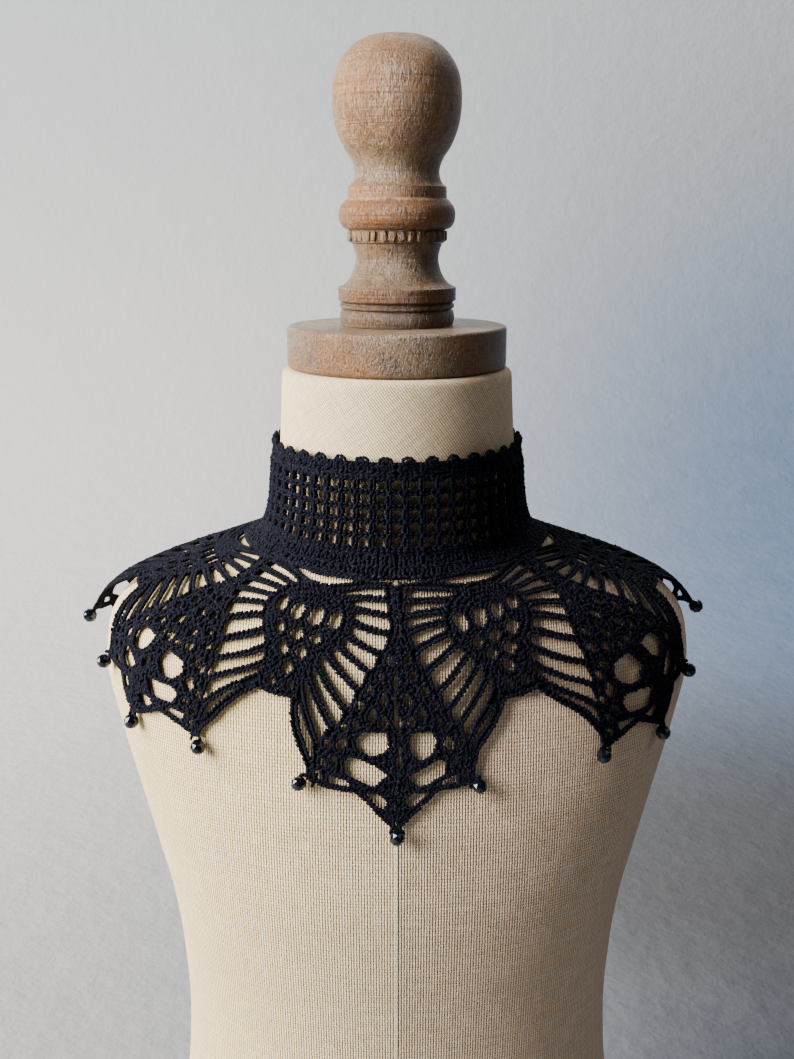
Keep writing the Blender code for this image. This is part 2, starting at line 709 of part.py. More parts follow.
def make_bead(name, lap, r, ahead, material):
    # A faceted bead just past a tip of the lace, its hole lying along the hem
    depth = COLLAR_DEPTH + r * MM
    frame = cloth_frame(lap, depth, WALL / 2, ahead)
    reach = BEAD_RADIUS + SEAM_GAP
    out = BEAD_RADIUS - FORM_GAP - WALL / 2 + SEAM_GAP
    bm = bmesh.new()
    bmesh.ops.create_uvsphere(bm, u_segments=BEAD_SIDES, v_segments=4, radius=1.0)
    bmesh.ops.scale(bm, vec=(BEAD_RADIUS, BEAD_RADIUS, BEAD_HALF_LENGTH), verts=bm.verts)
    bmesh.ops.rotate(bm, matrix=Matrix.Rotation(math.pi / 2, 3, "X"), verts=bm.verts)
    bmesh.ops.translate(bm, vec=(reach, 0, max(out, 0.0)), verts=bm.verts)
    obj = add_object(name, mesh_from(bm, name), material)
    obj.matrix_world = frame


def make_beads(material):
    # Each leaf has a bead at its middle tip and one at each side tip
    tip = LEAF_HEM[1]
    ahead = 0.8 * REPEAT_LAP / repeat_width(tip.r)
    for leaf in range(-SIDE_REPEATS, SIDE_REPEATS + 1):
        word = f"{'left' if leaf < 0 else 'right'}_{abs(leaf)}" if leaf else "front"
        make_bead(f"bead_{word}_middle", leaf * REPEAT_LAP, LEAF_TIP_R, (0, MM), material)
        for side, end in ((-1, "left"), (1, "right")):
            at = on_leaf(leaf, side, tip.across - 1.2, tip.r + 0.6)
            make_bead(f"bead_{word}_{end}", *at, (side * ahead, MM), material)


def make_button(name, depth, material):
    # A domed button on a shank, on the left half beside the opening
    lap = -180 + math.degrees(BUTTON_OFFSET * MM / FORM_SECTIONS[0].half_width)
    bottom = BUTTON_SEAT
    cap = bottom + 2 * SEAM_GAP + 2 * LOOP_RADIUS
    profile = [
        (bottom, 0),
        (bottom, BUTTON_SHANK),
        (cap, BUTTON_SHANK),
        (cap, 0.86 * BUTTON_RADIUS),
        (cap + 0.35 * BUTTON_HEIGHT, BUTTON_RADIUS),
        (cap + 0.8 * BUTTON_HEIGHT, 0.7 * BUTTON_RADIUS),
        (cap + BUTTON_HEIGHT, 0),
    ]
    obj = add_object(name, turned(profile, BUTTON_SIDES, name), material, 50)
    obj.matrix_world = cloth_frame(lap, depth, WALL, (1, 0))
    return obj.matrix_world


def make_loop(name, frame, material):
    # A chain loop from the right half, round the button's shank
    across = BUTTON_SHANK + SEAM_GAP + LOOP_RADIUS
    above = BUTTON_SEAT + SEAM_GAP + LOOP_RADIUS
    away = (BUTTON_OFFSET + LOOP_END) * MM
    bend = [math.radians(angle) for angle in range(-90, 91, 30)]
    route = [(-away, across), (-away / 2, across)]
    route += [(across * math.cos(a), -across * math.sin(a)) for a in bend]
    route += [(-away / 2, -across), (-away, -across)]
    radius = FORM_SECTIONS[0].half_width
    curve = bpy.data.curves.new(name, "CURVE")
    curve.dimensions = "3D"
    curve.bevel_depth = LOOP_RADIUS
    curve.bevel_resolution = 1
    curve.use_fill_caps = True
    spline = curve.splines.new("POLY")
    spline.points.add(len(route) - 1)
    for point, (x, y) in zip(spline.points, route):
        sink = x * x / (2 * radius)  # follows the round of the neck
        point.co = (x, y, above - sink, 1)
    obj = add_object(name, curve, material)
    obj.matrix_world = frame


def make_closure(button_material, yarn_material):
    for number, depth in enumerate(BUTTON_DEPTHS, 1):
        frame = make_button(f"button_{number}", depth, button_material)
        make_loop(f"button_loop_{number}", frame, yarn_material)


def main():
    clear_scene()
    materials = {name: make_material(name) for name in MATERIALS}
    make_form(materials["linen"])
    make_wooden_top(materials["wood"])
    sheet = half_sheet()
    for side, word in ((-1, "left"), (1, "right")):
        make_collar(side, f"collar_{word}", materials["yarn"])
        make_bib(side, f"bib_{word}", sheet, materials["yarn"])
    make_beads(materials["bead"])
    make_closure(materials["button"], materials["yarn"])


main()
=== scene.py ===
# Looks of a crochet choker on a linen dress form: its stitches, glass beads and buttons, the linen
# and the worn wood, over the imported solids. Metres, +Z up, and the form faces -Y.

import math

import bmesh
import bpy
import numpy as np
from mathutils import Matrix, Vector
from mathutils.bvhtree import BVHTree
from mathutils.geometry import delaunay_2d_cdt


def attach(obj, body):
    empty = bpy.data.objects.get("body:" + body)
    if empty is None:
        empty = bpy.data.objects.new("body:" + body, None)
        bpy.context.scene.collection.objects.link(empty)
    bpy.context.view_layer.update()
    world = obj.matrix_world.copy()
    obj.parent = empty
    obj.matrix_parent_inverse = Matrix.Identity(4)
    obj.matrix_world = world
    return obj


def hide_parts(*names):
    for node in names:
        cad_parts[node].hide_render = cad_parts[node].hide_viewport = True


mm = 0.001
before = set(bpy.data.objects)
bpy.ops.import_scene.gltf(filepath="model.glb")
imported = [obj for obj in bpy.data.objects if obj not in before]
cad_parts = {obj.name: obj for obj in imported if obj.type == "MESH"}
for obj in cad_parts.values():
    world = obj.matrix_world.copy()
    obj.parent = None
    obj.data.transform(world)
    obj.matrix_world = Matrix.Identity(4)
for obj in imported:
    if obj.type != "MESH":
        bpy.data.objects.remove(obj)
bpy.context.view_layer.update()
print("stage: frame loaded")


# Shader nodes


class Wire:
    # One output of a material's nodes. Sums on it add Math nodes, and add() makes any other node.
    def __init__(self, tree, socket=None):
        self.tree, self.socket = tree, socket

    def add(self, kind, settings=None, values=None, output=0):
        node = self.tree.nodes.new("ShaderNode" + kind)
        for name, value in (settings or {}).items():
            if name == "stops":
                self.setStops(node.color_ramp, value)
            else:
                setattr(node, name, value)
        for name, value in (values or {}).items():
            if isinstance(value, Wire):
                self.tree.links.new(value.socket, node.inputs[name])
            else:
                node.inputs[name].default_value = value
        return Wire(self.tree, node.outputs[output] if len(node.outputs) else None)

    def setStops(self, ramp, stops):
        while len(ramp.elements) < len(stops):
            ramp.elements.new(0.5)
        for element, (position, colour) in zip(ramp.elements, stops):
            element.position = position
            element.color = colour if len(colour) == 4 else (*colour, 1)

    def maths(self, operation, *operands):
        return self.add("Math", {"operation": operation}, dict(enumerate(operands)))

    def __add__(self, other):
        return self.maths("ADD", self, other)

    def __sub__(self, other):
        return self.maths("SUBTRACT", self, other)

    def __rsub__(self, other):
        return self.maths("SUBTRACT", other, self)

    def __mul__(self, other):
        return self.maths("MULTIPLY", self, other)

    __radd__, __rmul__ = __add__, __mul__

    def sine(self):
        return self.maths("SINE", self)

    def size(self):
        return self.maths("ABSOLUTE", self)

    def within(self, low, high, lowTo=0.0, highTo=1.0):
        values = {"Value": self, 1: low, 2: high, 3: lowTo, 4: highTo}
        return self.add("MapRange", {"interpolation_type": "SMOOTHSTEP"}, values)

    def mix(self, a, b, blend="MIX"):
        # self is the factor
        settings = {"data_type": "RGBA", "blend_type": blend}
        return self.add("Mix", settings, {0: self, 6: a, 7: b}, 2)

    def parts(self):
        return [self.add("SeparateXYZ", None, {0: self}, i) for i in range(3)]

    def stretched(self, *scale):
        return self.add("Mapping", None, {"Vector": self, "Scale": scale})

    def turned(self, degrees):
        rotation = (0, 0, math.radians(degrees))
        return self.add("Mapping", None, {"Vector": self, "Rotation": rotation})

    def noise(self, scale, detail=2.0, roughness=0.5, distortion=0.0):
        values = {"Vector": self, "Scale": scale, "Detail": detail}
        values |= {"Roughness": roughness, "Distortion": distortion}
        return self.add("TexNoise", None, values)

    def ramp(self, *stops):
        return self.add("ValToRGB", {"stops": stops}, {0: self})

    def bump(self, height, distance, strength=1.0, normal=None):
        values = {"Height": height, "Distance": distance, "Strength": strength}
        if normal is not None:
            values["Normal"] = normal
        return self.add("Bump", None, values)


def newMaterial(name):
    # A material without nodes yet: the material, its maker and its Object coordinates
    material = bpy.data.materials.new(name)
    material.use_nodes = True
    material.node_tree.nodes.clear()
    maker = Wire(material.node_tree)
    return material, maker, maker.add("TexCoord", None, None, "Object")


def closeMaterial(material, maker, colour, roughness, normal, shine):
    values = {"Base Color": colour, "Roughness": roughness, **shine}
    if normal is not None:
        values["Normal"] = normal
    shader = maker.add("BsdfPrincipled", None, values)
    maker.add("OutputMaterial", None, {"Surface": shader})
    return material


yarnFinish = {
    # deep is the painted shade in the grooves between plies, face the plies' lit crowns
    "deep": (0.0004, 0.0004, 0.0009, 1),
    "face": (0.0030, 0.0030, 0.0076, 1),
    # the colour of the painted glints on the yarn
    "wearAndPaintedLight": (0.042, 0.043, 0.074, 1),
    "plies": 5,
    "plyTurn": 0.9,  # millimetres of yarn for one ply to pass
    "plyDepth": 0.00016,
    "fuzz": 0.00014,
    "shine": {
        "Specular IOR Level": 0.10, "Specular Tint": (0.70, 0.74, 1.0, 1),
        "Sheen Weight": 0.03, "Sheen Roughness": 0.5, "Sheen Tint": (0.60, 0.66, 1.0, 1),
    },
}


def makeYarn():
    look = yarnFinish
    material, maker, place = newMaterial("crochetCotton")
    uv = maker.add("UVMap", {"uv_map": "yarnRun"})
    run, turn, _ = uv.parts()
    tone = maker.add("Attribute", {"attribute_name": "stitchTone"}, None, "Fac")
    ply = ((run * (1 / look["plyTurn"]) + turn * look["plies"]) * (2 * math.pi)).sine() * 0.5 + 0.5
    fuzz = place.noise(2300, 3, 0.75)
    # Painted glints: small light flecks stand in for the fibres' sparkle, strongest on the plies'
    # crowns; the same flecks are a little less rough
    glintFlecks = place.noise(1500, 2, 0.6).within(0.56, 0.70)
    # Painted shade and highlight: darker in the grooves between plies, lighter on their crowns,
    # mixed with each lobe's own tone
    colour = (ply * 0.6 + tone * 0.4).mix(look["deep"], look["face"])
    colour = (glintFlecks * (0.35 + 0.65 * ply) * (0.3 + 0.7 * tone)).mix(colour, look["wearAndPaintedLight"])
    normal = maker.bump(ply, look["plyDepth"], 0.9)
    normal = maker.bump(fuzz, look["fuzz"], 0.8, normal)
    return closeMaterial(material, maker, colour, 0.80 - 0.25 * glintFlecks, normal, look["shine"])


# Finishes that one noise makes: its scale, detail and roughness, two colours, the surface's
# roughness and how much of the noise is added to it, and a bump's depth and strength
speckles = {
    "crochetGround": {
        "noise": (1400, 3, 0.6),
        "colours": ((0.0008, 0.001, 0.0025, 1), (0.0025, 0.003, 0.007, 1)),
        "roughness": (0.92, 0),
        "bump": (0.0004, 1.0),
        "shine": {"Specular IOR Level": 0.1},
    },
    "facetedGlass": {
        "noise": (420, 2, 0.5),
        "colours": ((0.0010, 0.0011, 0.002, 1), (0.003, 0.004, 0.008, 1)),
        "roughness": (0.02, 0.04),
        "bump": None,
        "shine": {"Specular IOR Level": 0.55, "Specular Tint": (0.82, 0.88, 1.0, 1)},
    },
    "buttonGloss": {
        "noise": (1500, 3, 0.6),
        "colours": ((0.004, 0.0045, 0.007, 1), (0.014, 0.015, 0.02, 1)),
        "roughness": (0.16, 0.18),
        "bump": (0.00003, 0.5),
        "shine": {},
    },
}


def makeSpeckled(name):
    look = speckles[name]
    material, maker, place = newMaterial(name)
    specks = place.noise(*look["noise"])
    roughness, wear = look["roughness"]
    roughness = roughness + wear * specks if wear else roughness
    normal = maker.bump(specks, *look["bump"]) if look["bump"] else None
    colour = specks.mix(*look["colours"])
    return closeMaterial(material, maker, colour, roughness, normal, look["shine"])


linenFinish = {
    "warp": (0.92, 0.72, 0.44, 1),
    "weft": (0.86, 0.64, 0.37, 1),
    # painted shade in the pits between threads
    "pitShadeColour": (0.085, 0.052, 0.026, 1),
    # also the colour of the painted highlight along the seam
    "slubAndSeamHighlight": (0.97, 0.84, 0.60, 1),
    "stain": (0.74, 0.53, 0.31, 1),
    "warpPitch": 1.085,  # millimetres between threads
    "weftPitch": 1.34,
    "threadDepth": 0.00045,
    "slubRuns": ((0.85, 0.06), (0.06, 0.85)),
    "wander": 0.45,
    "neckTurn": 36,  # degrees that the neck's cloth is turned
    "neckPitches": (0.84, 0.78),  # of the neck's threads, as shares of the body's
    "neckFrom": 0.404,
    "seamWidth": 0.0008,
    "fold": 0.09,  # how far beyond the seam the cloth turns away
    "foldSlope": 0.19,
    # painted light and shade: tints for the lit left side and the shaded right side
    "litSideTint": (1.0, 0.985, 0.83, 1),
    "shadeSideTint": (0.95, 0.89, 0.97, 1),
    "shine": {"Sheen Weight": 0.10, "Sheen Roughness": 0.6, "Specular IOR Level": 0.2},
}


def weaveOf(cloth, warpPitch, weftPitch):
    # Threads of a plain weave: height, which thread is on top, slubs, and the pits between threads,
    # where shade is painted
    look = linenFinish
    across, along, _ = cloth.parts()
    slubs = [cloth.stretched(*run, 1).noise(1.0, 3, 0.65) for run in look["slubRuns"]]
    slubs = slubs[0] + slubs[1]
    across = across + cloth.noise(0.5, 2, 0.6) * look["wander"]
    along = along + cloth.noise(0.45, 2, 0.6) * look["wander"]
    warp = (across * (math.pi / warpPitch)).sine()
    weft = (along * (math.pi / weftPitch)).sine()
    over = (warp * weft).within(-0.25, 0.25)
    ridge = over * weft.size() + (1 - over) * warp.size()
    pitShade = 1 - (warp.size() * 0.66 + weft.size() * 0.34).within(0.08, 0.88)
    return (ridge + warp.size()) * (0.3 + 0.2 * slubs), over, slubs, pitShade


def makeLinen():
    look = linenFinish
    material, maker, place = newMaterial("linenCloth")
    cloth = maker.add("UVMap", {"uv_map": "clothRun"})
    pitches = look["warpPitch"], look["weftPitch"]
    straight = weaveOf(cloth, *pitches)
    neckPitches = (pitch * share for pitch, share in zip(pitches, look["neckPitches"]))
    bias = weaveOf(cloth.turned(look["neckTurn"]), *neckPitches)
    x, y, z = place.parts()
    onNeck = z.within(look["neckFrom"] - 0.0005, look["neckFrom"] + 0.0005)
    height, over, slubs, pitShade = (a * (1 - onNeck) + b * onNeck for a, b in zip(straight, bias))
    colour = over.mix(look["weft"], look["warp"])
    colour = (slubs.within(0.90, 1.25) * 0.60).mix(colour, look["slubAndSeamHighlight"])
    colour = (slubs.within(1.02, 0.75) * 0.45).mix(colour, look["stain"])
    clouds = place.noise(9, 4, 0.6).within(0.42, 0.75)
    colour = (clouds * 0.35).mix(colour, look["stain"])
    # Painted shade in the pits between threads, deeper in some places than in others and lighter in
    # the slubs
    wearAndPaintedLight = cloth.noise(0.55, 3, 0.7).within(0.20, 0.60, 0.55, 1.0)
    colour = (pitShade * wearAndPaintedLight * (0.94 - 0.35 * slubs.within(0.9, 1.3))).mix(colour, look["pitShadeColour"])
    front = y.within(-0.02, 0.0, 1.0, 0.0) * (1 - onNeck)
    # The centre-front seam: a raised ridge in the bump, with a painted highlight along it
    seamRidgeAndHighlight = (1 - x.size().within(0.0, look["seamWidth"])) * front
    colour = (seamRidgeAndHighlight * 0.5).mix(colour, look["slubAndSeamHighlight"])
    # Painted light and shade: the lit left side is tinted warmer, the shaded right side darker and
    # pinker
    colour = x.within(0.0, -0.07).mix(colour, look["litSideTint"], "MULTIPLY")
    colour = x.within(-0.02, 0.06).mix(colour, look["shadeSideTint"], "MULTIPLY")
    normal = maker.bump(height, look["threadDepth"], 0.9)
    normal = maker.bump(seamRidgeAndHighlight, 0.0004, 0.6, normal)
    flat = x.maths("MINIMUM", x.maths("MAXIMUM", x, 0.0), look["fold"])
    fold = flat * (0.5 / look["fold"] * flat - 1) * front  # the cloth turns away beyond the seam
    normal = maker.bump(fold, look["foldSlope"], 1.0, normal)
    return closeMaterial(material, maker, colour, 0.93, normal, look["shine"])


finialFinish = {
    "dark": (0.070, 0.036, 0.016, 1),
    "mid": (0.290, 0.166, 0.056, 1),
    "orange": (0.285, 0.096, 0.007, 1),
    "wash": (0.410, 0.315, 0.215, 1),
    "foot": 0.480,
    "rise": 0.1093,
    # height above the foot in millimetres, how orange the varnish is, how much whitewash, and how
    # light the band is painted, as painted light and shade, darker towards the foot
    "bands": [
        (0.0, 0.30, 0.45, 0.42), (2.0, 0.30, 0.20, 0.38), (8.5, 0.35, 0.20, 0.38),
        (9.8, 1.00, 0.00, 0.43), (14.0, 1.00, 0.00, 0.45), (15.0, 0.30, 0.80, 0.72),
        (16.5, 0.25, 0.35, 0.58), (22.0, 0.15, 0.25, 0.58), (30.0, 0.25, 0.15, 0.66),
        (37.2, 0.30, 0.15, 0.75), (38.5, 1.00, 0.00, 0.66), (47.4, 0.90, 0.05, 0.70),
        (48.2, 0.10, 0.95, 1.10), (49.2, 0.80, 0.10, 0.80), (53.0, 0.60, 0.20, 0.82),
        (54.5, 0.20, 0.40, 0.74), (60.0, 0.15, 0.30, 0.80), (67.0, 0.25, 0.15, 0.92),
        (84.0, 0.35, 0.10, 0.98), (88.5, 0.80, 0.05, 0.96), (94.0, 0.50, 0.16, 0.96),
        (109.3, 0.35, 0.25, 0.98),
    ],
    "turning": 0.9,
    "fibres": (210, 210, 34),
    "scratches": (1700, 1700, 300),
    "patches": (70, 70, 46),
    "patchEdge": (0.18, 0.50),
}
discFinish = {
    "dark": (0.060, 0.033, 0.018, 1),
    "mid": (0.215, 0.130, 0.050, 1),
    "orange": (0.265, 0.096, 0.010, 1),
    "wash": (0.350, 0.270, 0.185, 1),
    "foot": 0.4633,
    "rise": 0.0164,
    # height above the foot in millimetres, how orange, how much whitewash, and how light the band
    # is painted, as painted shade darker towards the foot
    "bands": [
        (0.0, 0.90, 0.10, 0.72), (8.0, 0.80, 0.14, 0.76), (15.0, 0.50, 0.25, 0.80),
        (16.4, 0.05, 0.70, 0.95),
    ],
    "turning": 0.2,
    "fibres": (110, 110, 60),
    "scratches": (1500, 1500, 800),
    "patches": (30, 30, 34),
    "patchEdge": (0.42, 0.56),
}
woodShine = {"Specular IOR Level": 0.46, "Specular Tint": (0.94, 0.92, 0.98, 1)}


def makeWood(name, look):
    # Turned wood: upright fibres, rings from the lathe, worn varnish and the last of a whitewash,
    # with light and shade painted band by band, darker towards the foot
    material, maker, place = newMaterial(name)
    _, _, z = place.parts()
    height, rise = (z - look["foot"]) * (1 / look["rise"]), look["rise"] / mm
    bands = [(at / rise, (*shares, light / 2)) for at, *shares, light in look["bands"]]
    glow, washed, light = height.ramp(*bands).parts()
    fibres = place.stretched(*look["fibres"]).noise(1.0, 5, 0.6, 0.8)
    scratches = place.stretched(*look["scratches"]).noise(1.0, 3, 0.65, 0.6)
    rings = place.stretched(9, 9, 900).noise(1.0, 3, 0.7)
    patches = place.stretched(*look["patches"]).noise(1.0, 4, 0.62)
    colour = fibres.within(0.30, 0.66).mix(look["dark"], look["mid"])
    colour = (glow * patches.within(*look["patchEdge"])).mix(colour, look["orange"])
    wearAndPaintedLight = scratches.within(0.46, 0.62) * 0.8 + patches.within(0.62, 0.40) * 0.6
    colour = (wearAndPaintedLight * washed).mix(colour, look["wash"])
    colour = (scratches.within(0.54, 0.64) * 0.30).mix(colour, look["wash"])
    cuts = scratches.within(0.48, 0.36) * 0.8 + rings.within(0.45, 0.34) * (0.4 * look["turning"])
    colour = cuts.mix(colour, look["dark"])
    # Painted shade: each band's colour is scaled by how light it is painted
    colour = maker.add("VectorMath", {"operation": "SCALE"}, {0: colour, "Scale": light * 2})
    normal = maker.bump(scratches, 0.0009, 1.0)
    normal = maker.bump(rings, 0.0005, look["turning"], normal)
    normal = maker.bump(fibres, 0.0010, 0.6, normal)
    return closeMaterial(material, maker, colour, 0.17 + 0.24 * patches, normal, woodShine)


plasterFinish = {
    "light": (0.475, 0.47, 0.465, 1),
    "far": (0.115, 0.172, 0.28, 1),
    "high": (0.37, 0.39, 0.41, 1),
    "near": (0.02, 0.02, 0.02, 1),
    "lump": (0.50, 0.50, 0.50, 1),
    "paintedFormShadow": (0.036, 0.032, 0.028, 1),
}


def makePlaster():
    look = plasterFinish
    material, maker, place = newMaterial("palePlaster")
    x, y, z = place.parts()
    lumps = place.noise(24, 5, 0.6)
    away = (x - z * 0.35).within(-0.42, 0.58)  # the room darkens away from the window
    # Painted shade: the floor darkens towards the camera, more so on the right
    near = y.within(1.0, 0.1) * (0.5 + 0.25 * x.within(0.0, 0.4))
    # Painted shadow of the form on the floor behind it and to its right
    paintedFormShadow = y.within(0.95, 0.45) * y.within(0.05, 0.35) * x.within(0.0, 0.2)  # past the form
    colour = away.mix(look["light"], look["far"])
    # Painted light: higher up, the backdrop turns an even grey, so the painted window gradient
    # fades
    colour = z.within(0.1, 1.0).mix(colour, look["high"])
    colour = near.mix(colour, look["near"])
    colour = (lumps.within(0.35, 0.7) * 0.05).mix(colour, look["lump"])
    colour = (paintedFormShadow * 0.76).mix(colour, look["paintedFormShadow"])
    normal = maker.bump(place.noise(70, 3, 0.6), 0.003, 0.6)
    normal = maker.bump(lumps, 0.004, 0.5, normal)
    return closeMaterial(material, maker, colour, 0.95, normal, {})


yarn, linen = makeYarn(), makeLinen()
discWood, finialWood = makeWood("discWood", discFinish), makeWood("finialWood", finialFinish)
groundYarn, beadGlass, buttonGloss = map(makeSpeckled, speckles)
plaster = makePlaster()
print("stage: materials made")


# Pieces


def addPiece(name, mesh, material, stands=()):
    # A finished piece in its place: it rides on the root body and stands for its CAD nodes
    piece = bpy.data.objects.new(name, mesh)
    mesh.materials.append(material)
    bpy.context.scene.collection.objects.link(piece)
    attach(piece, "root")
    if stands:
        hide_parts(*stands)
    return piece


def meshOf(bm, name, smoothAngle=None):
    mesh = bpy.data.meshes.new(name)
    bm.to_mesh(mesh)
    bm.free()
    if smoothAngle is not None:
        mesh.shade_smooth()
        mesh.set_sharp_from_angle(angle=math.radians(smoothAngle))
    return mesh


# The linen form. Each row is a level section: height, half width, front, back, and the power of its
# superellipse, as in the part.
form = {
    "sections": [
        (0.4630, 0.0465, 0.0465, 0.0465, 2.00), (0.4320, 0.0482, 0.0480, 0.0480, 2.00),
        (0.4140, 0.0497, 0.0492, 0.0492, 2.00), (0.4040, 0.0514, 0.0503, 0.0508, 2.00),
        (0.3975, 0.0540, 0.0519, 0.0530, 2.00), (0.3936, 0.0583, 0.0538, 0.0556, 2.00),
        (0.3904, 0.0650, 0.0560, 0.0588, 2.05), (0.3836, 0.0850, 0.0602, 0.0638, 2.10),
        (0.3772, 0.1030, 0.0639, 0.0682, 2.15), (0.3685, 0.1160, 0.0678, 0.0724, 2.20),
        (0.3590, 0.1217, 0.0713, 0.0757, 2.25), (0.3440, 0.1234, 0.0758, 0.0790, 2.30),
        (0.3200, 0.1188, 0.0810, 0.0810, 2.35), (0.2960, 0.1127, 0.0848, 0.0795, 2.35),
        (0.2710, 0.1069, 0.0855, 0.0755, 2.30), (0.2370, 0.1000, 0.0820, 0.0700, 2.25),
        (0.2100, 0.0973, 0.0775, 0.0660, 2.20), (0.1800, 0.0960, 0.0735, 0.0630, 2.20),
        (0.1500, 0.0973, 0.0720, 0.0640, 2.20), (0.1250, 0.1003, 0.0740, 0.0690, 2.20),
        (0.0850, 0.1073, 0.0800, 0.0790, 2.25), (0.0400, 0.1135, 0.0840, 0.0850, 2.30),
        (0.0000, 0.1155, 0.0845, 0.0860, 2.30),
    ],
    "edge": 0.003,
    "edgeBends": (22.5, 45, 67.5, 90),
    "sides": 144,
    "rows": 150,
}


def eased(start, leave, end, arrive, t):
    # A cubic from start to end that leaves and arrives with the given rises
    return (
        start * (1 + 2 * t) * (1 - t) ** 2
        + leave * t * (1 - t) ** 2
        + end * t**2 * (3 - 2 * t)
        + arrive * t**2 * (t - 1)
    )


def smoothColumn(knots, values, at):
    # A cubic through the values that never overshoots them
    steps = np.diff(knots)
    rises = np.diff(values) / steps
    slopes = np.zeros(len(values))
    sameWay = rises[:-1] * rises[1:] > 0
    pairs = np.where(sameWay, rises[:-1] + rises[1:], 1.0)
    slopes[1:-1] = np.where(sameWay, 2 * rises[:-1] * rises[1:] / pairs, 0.0)
    slopes[0], slopes[-1] = rises[0], rises[-1]
    i = np.clip(np.searchsorted(knots, at) - 1, 0, len(steps) - 1)
    t = (at - knots[i]) / steps[i]
    return eased(values[i], slopes[i] * steps[i], values[i + 1], slopes[i + 1] * steps[i], t)


def runAlong(points, axis=0):
    # The length run along lines of points, from 0 at their starts
    steps = np.linalg.norm(np.diff(points, axis=axis), axis=-1)
    return np.insert(steps.cumsum(axis=axis), 0, 0.0, axis=axis)


formColumns = np.array(form["sections"])
formKnots = runAlong(formColumns[:, :3])


def sectionsAt(places):
    return np.stack([smoothColumn(formKnots, column, places) for column in formColumns.T], axis=-1)


def ringPoints(sections, around):
    # Points of level sections at angles from the front, towards +X
    height, halfWidth, front, back, square = np.moveaxis(sections, -1, 0)
    across, along = np.sin(around), np.cos(around)
    depth = np.where(along > 0, front, back)
    swell = (np.abs(across) ** square + np.abs(along) ** square) ** (-1 / square)
    points = [swell * halfWidth * across, -swell * depth * along, height + 0 * across]
    return np.stack(points, axis=-1)


def gridCells(bm, columns, rows):
    # Row and column of each vertex of a unit grid
    return {v: (round((v.co.y + 0.5) * rows), round((v.co.x + 0.5) * columns)) for v in bm.verts}


def makeForm():
    # A grid wrapped round the sections, with rounded rims and closed ends
    edge, sides, rows = form["edge"], form["sides"], form["rows"]
    heights = formColumns[:, 0]
    top, bottom = (np.interp(-h, -heights, formKnots) for h in (heights[0] - edge, edge))
    sections = sectionsAt(np.linspace(top, bottom, rows))
    neckRim, baseRim = [], []
    for bend in map(math.radians, form["edgeBends"]):
        inset, rise = edge * (1 - math.cos(bend)), edge * math.sin(bend)
        trim = np.array([0, inset, inset, inset, 0])
        neckRim.insert(0, sections[0] - trim + (rise, 0, 0, 0, 0))
        baseRim.append(sections[-1] - trim - (rise, 0, 0, 0, 0))
    rings = np.concatenate([neckRim, sections, baseRim])
    around = np.linspace(0, 2 * math.pi, sides + 1) + math.pi
    points = ringPoints(rings[:, None], around[None])
    girth, fall = runAlong(points, 1), runAlong(points, 0)
    front = slice(sides // 2, sides // 2 + 1)
    girth -= girth[:, front]
    fall = np.repeat(fall[:, front], sides + 1, axis=1)
    bm = bmesh.new()
    bmesh.ops.create_grid(bm, x_segments=sides, y_segments=len(rings) - 1, size=0.5)
    uvs = bm.loops.layers.uv.new("clothRun")
    cells = gridCells(bm, sides, len(rings) - 1)
    for loop in (loop for face in bm.faces for loop in face.loops):
        loop[uvs].uv = (girth[cells[loop.vert]] / mm, fall[cells[loop.vert]] / mm)
    for vert, cell in cells.items():
        vert.co = points[cell]
    bmesh.ops.remove_doubles(bm, verts=bm.verts, dist=1e-6)
    rims = [rim for rim in bm.edges if rim.is_boundary]
    bmesh.ops.holes_fill(bm, edges=rims, sides=0)
    bmesh.ops.recalc_face_normals(bm, faces=bm.faces)
    return addPiece("linenForm", meshOf(bm, "linenForm", 60), linen, ["form_linen"])


# Wooden top
woodenTop = {
    "discRadius": 0.0444,
    "discBottom": 0.4633,
    "discTop": 0.4797,
    "discEdge": 0.0013,
    "finialSeat": 0.4800,
    "sides": 96,
    # height above the seat, radius, and 1 at a corner that stays crisp
    "profile": [
        (0.0000, 0.0000, 1), (0.0000, 0.0225, 1), (0.0028, 0.0231, 0), (0.0054, 0.0226, 0),
        (0.0062, 0.0219, 1), (0.0068, 0.0229, 1), (0.0080, 0.0230, 0), (0.0088, 0.0222, 1),
        (0.0097, 0.0236, 1), (0.0146, 0.0236, 1), (0.0165, 0.0203, 0), (0.0207, 0.0176, 0),
        (0.0262, 0.0165, 0), (0.0315, 0.0178, 1), (0.0322, 0.0190, 1), (0.0368, 0.0191, 1),
        (0.0376, 0.0212, 0), (0.0404, 0.0228, 0), (0.0448, 0.0227, 0), (0.0482, 0.0203, 1),
        (0.0487, 0.0196, 1), (0.0530, 0.0195, 1), (0.0545, 0.0177, 0), (0.0587, 0.0166, 0),
        (0.0634, 0.0180, 0), (0.0690, 0.0215, 0), (0.0770, 0.0243, 0), (0.0870, 0.0250, 0),
        (0.0960, 0.0234, 0), (0.1035, 0.0182, 0), (0.1075, 0.0112, 0), (0.1093, 0.0000, 1),
    ],
    "profileStep": 0.0009,
    "wobbles": ((3, 1, 0.004), (7, 0, 0.002)),  # waves round the disc, their start and share
    "teeth": 34,
    "toothHeight": 0.0345,
    "toothRadius": 0.0188,
    "toothSize": (0.0020, 0.0024, 0.0040),
    "toothEdge": 0.0005,
}


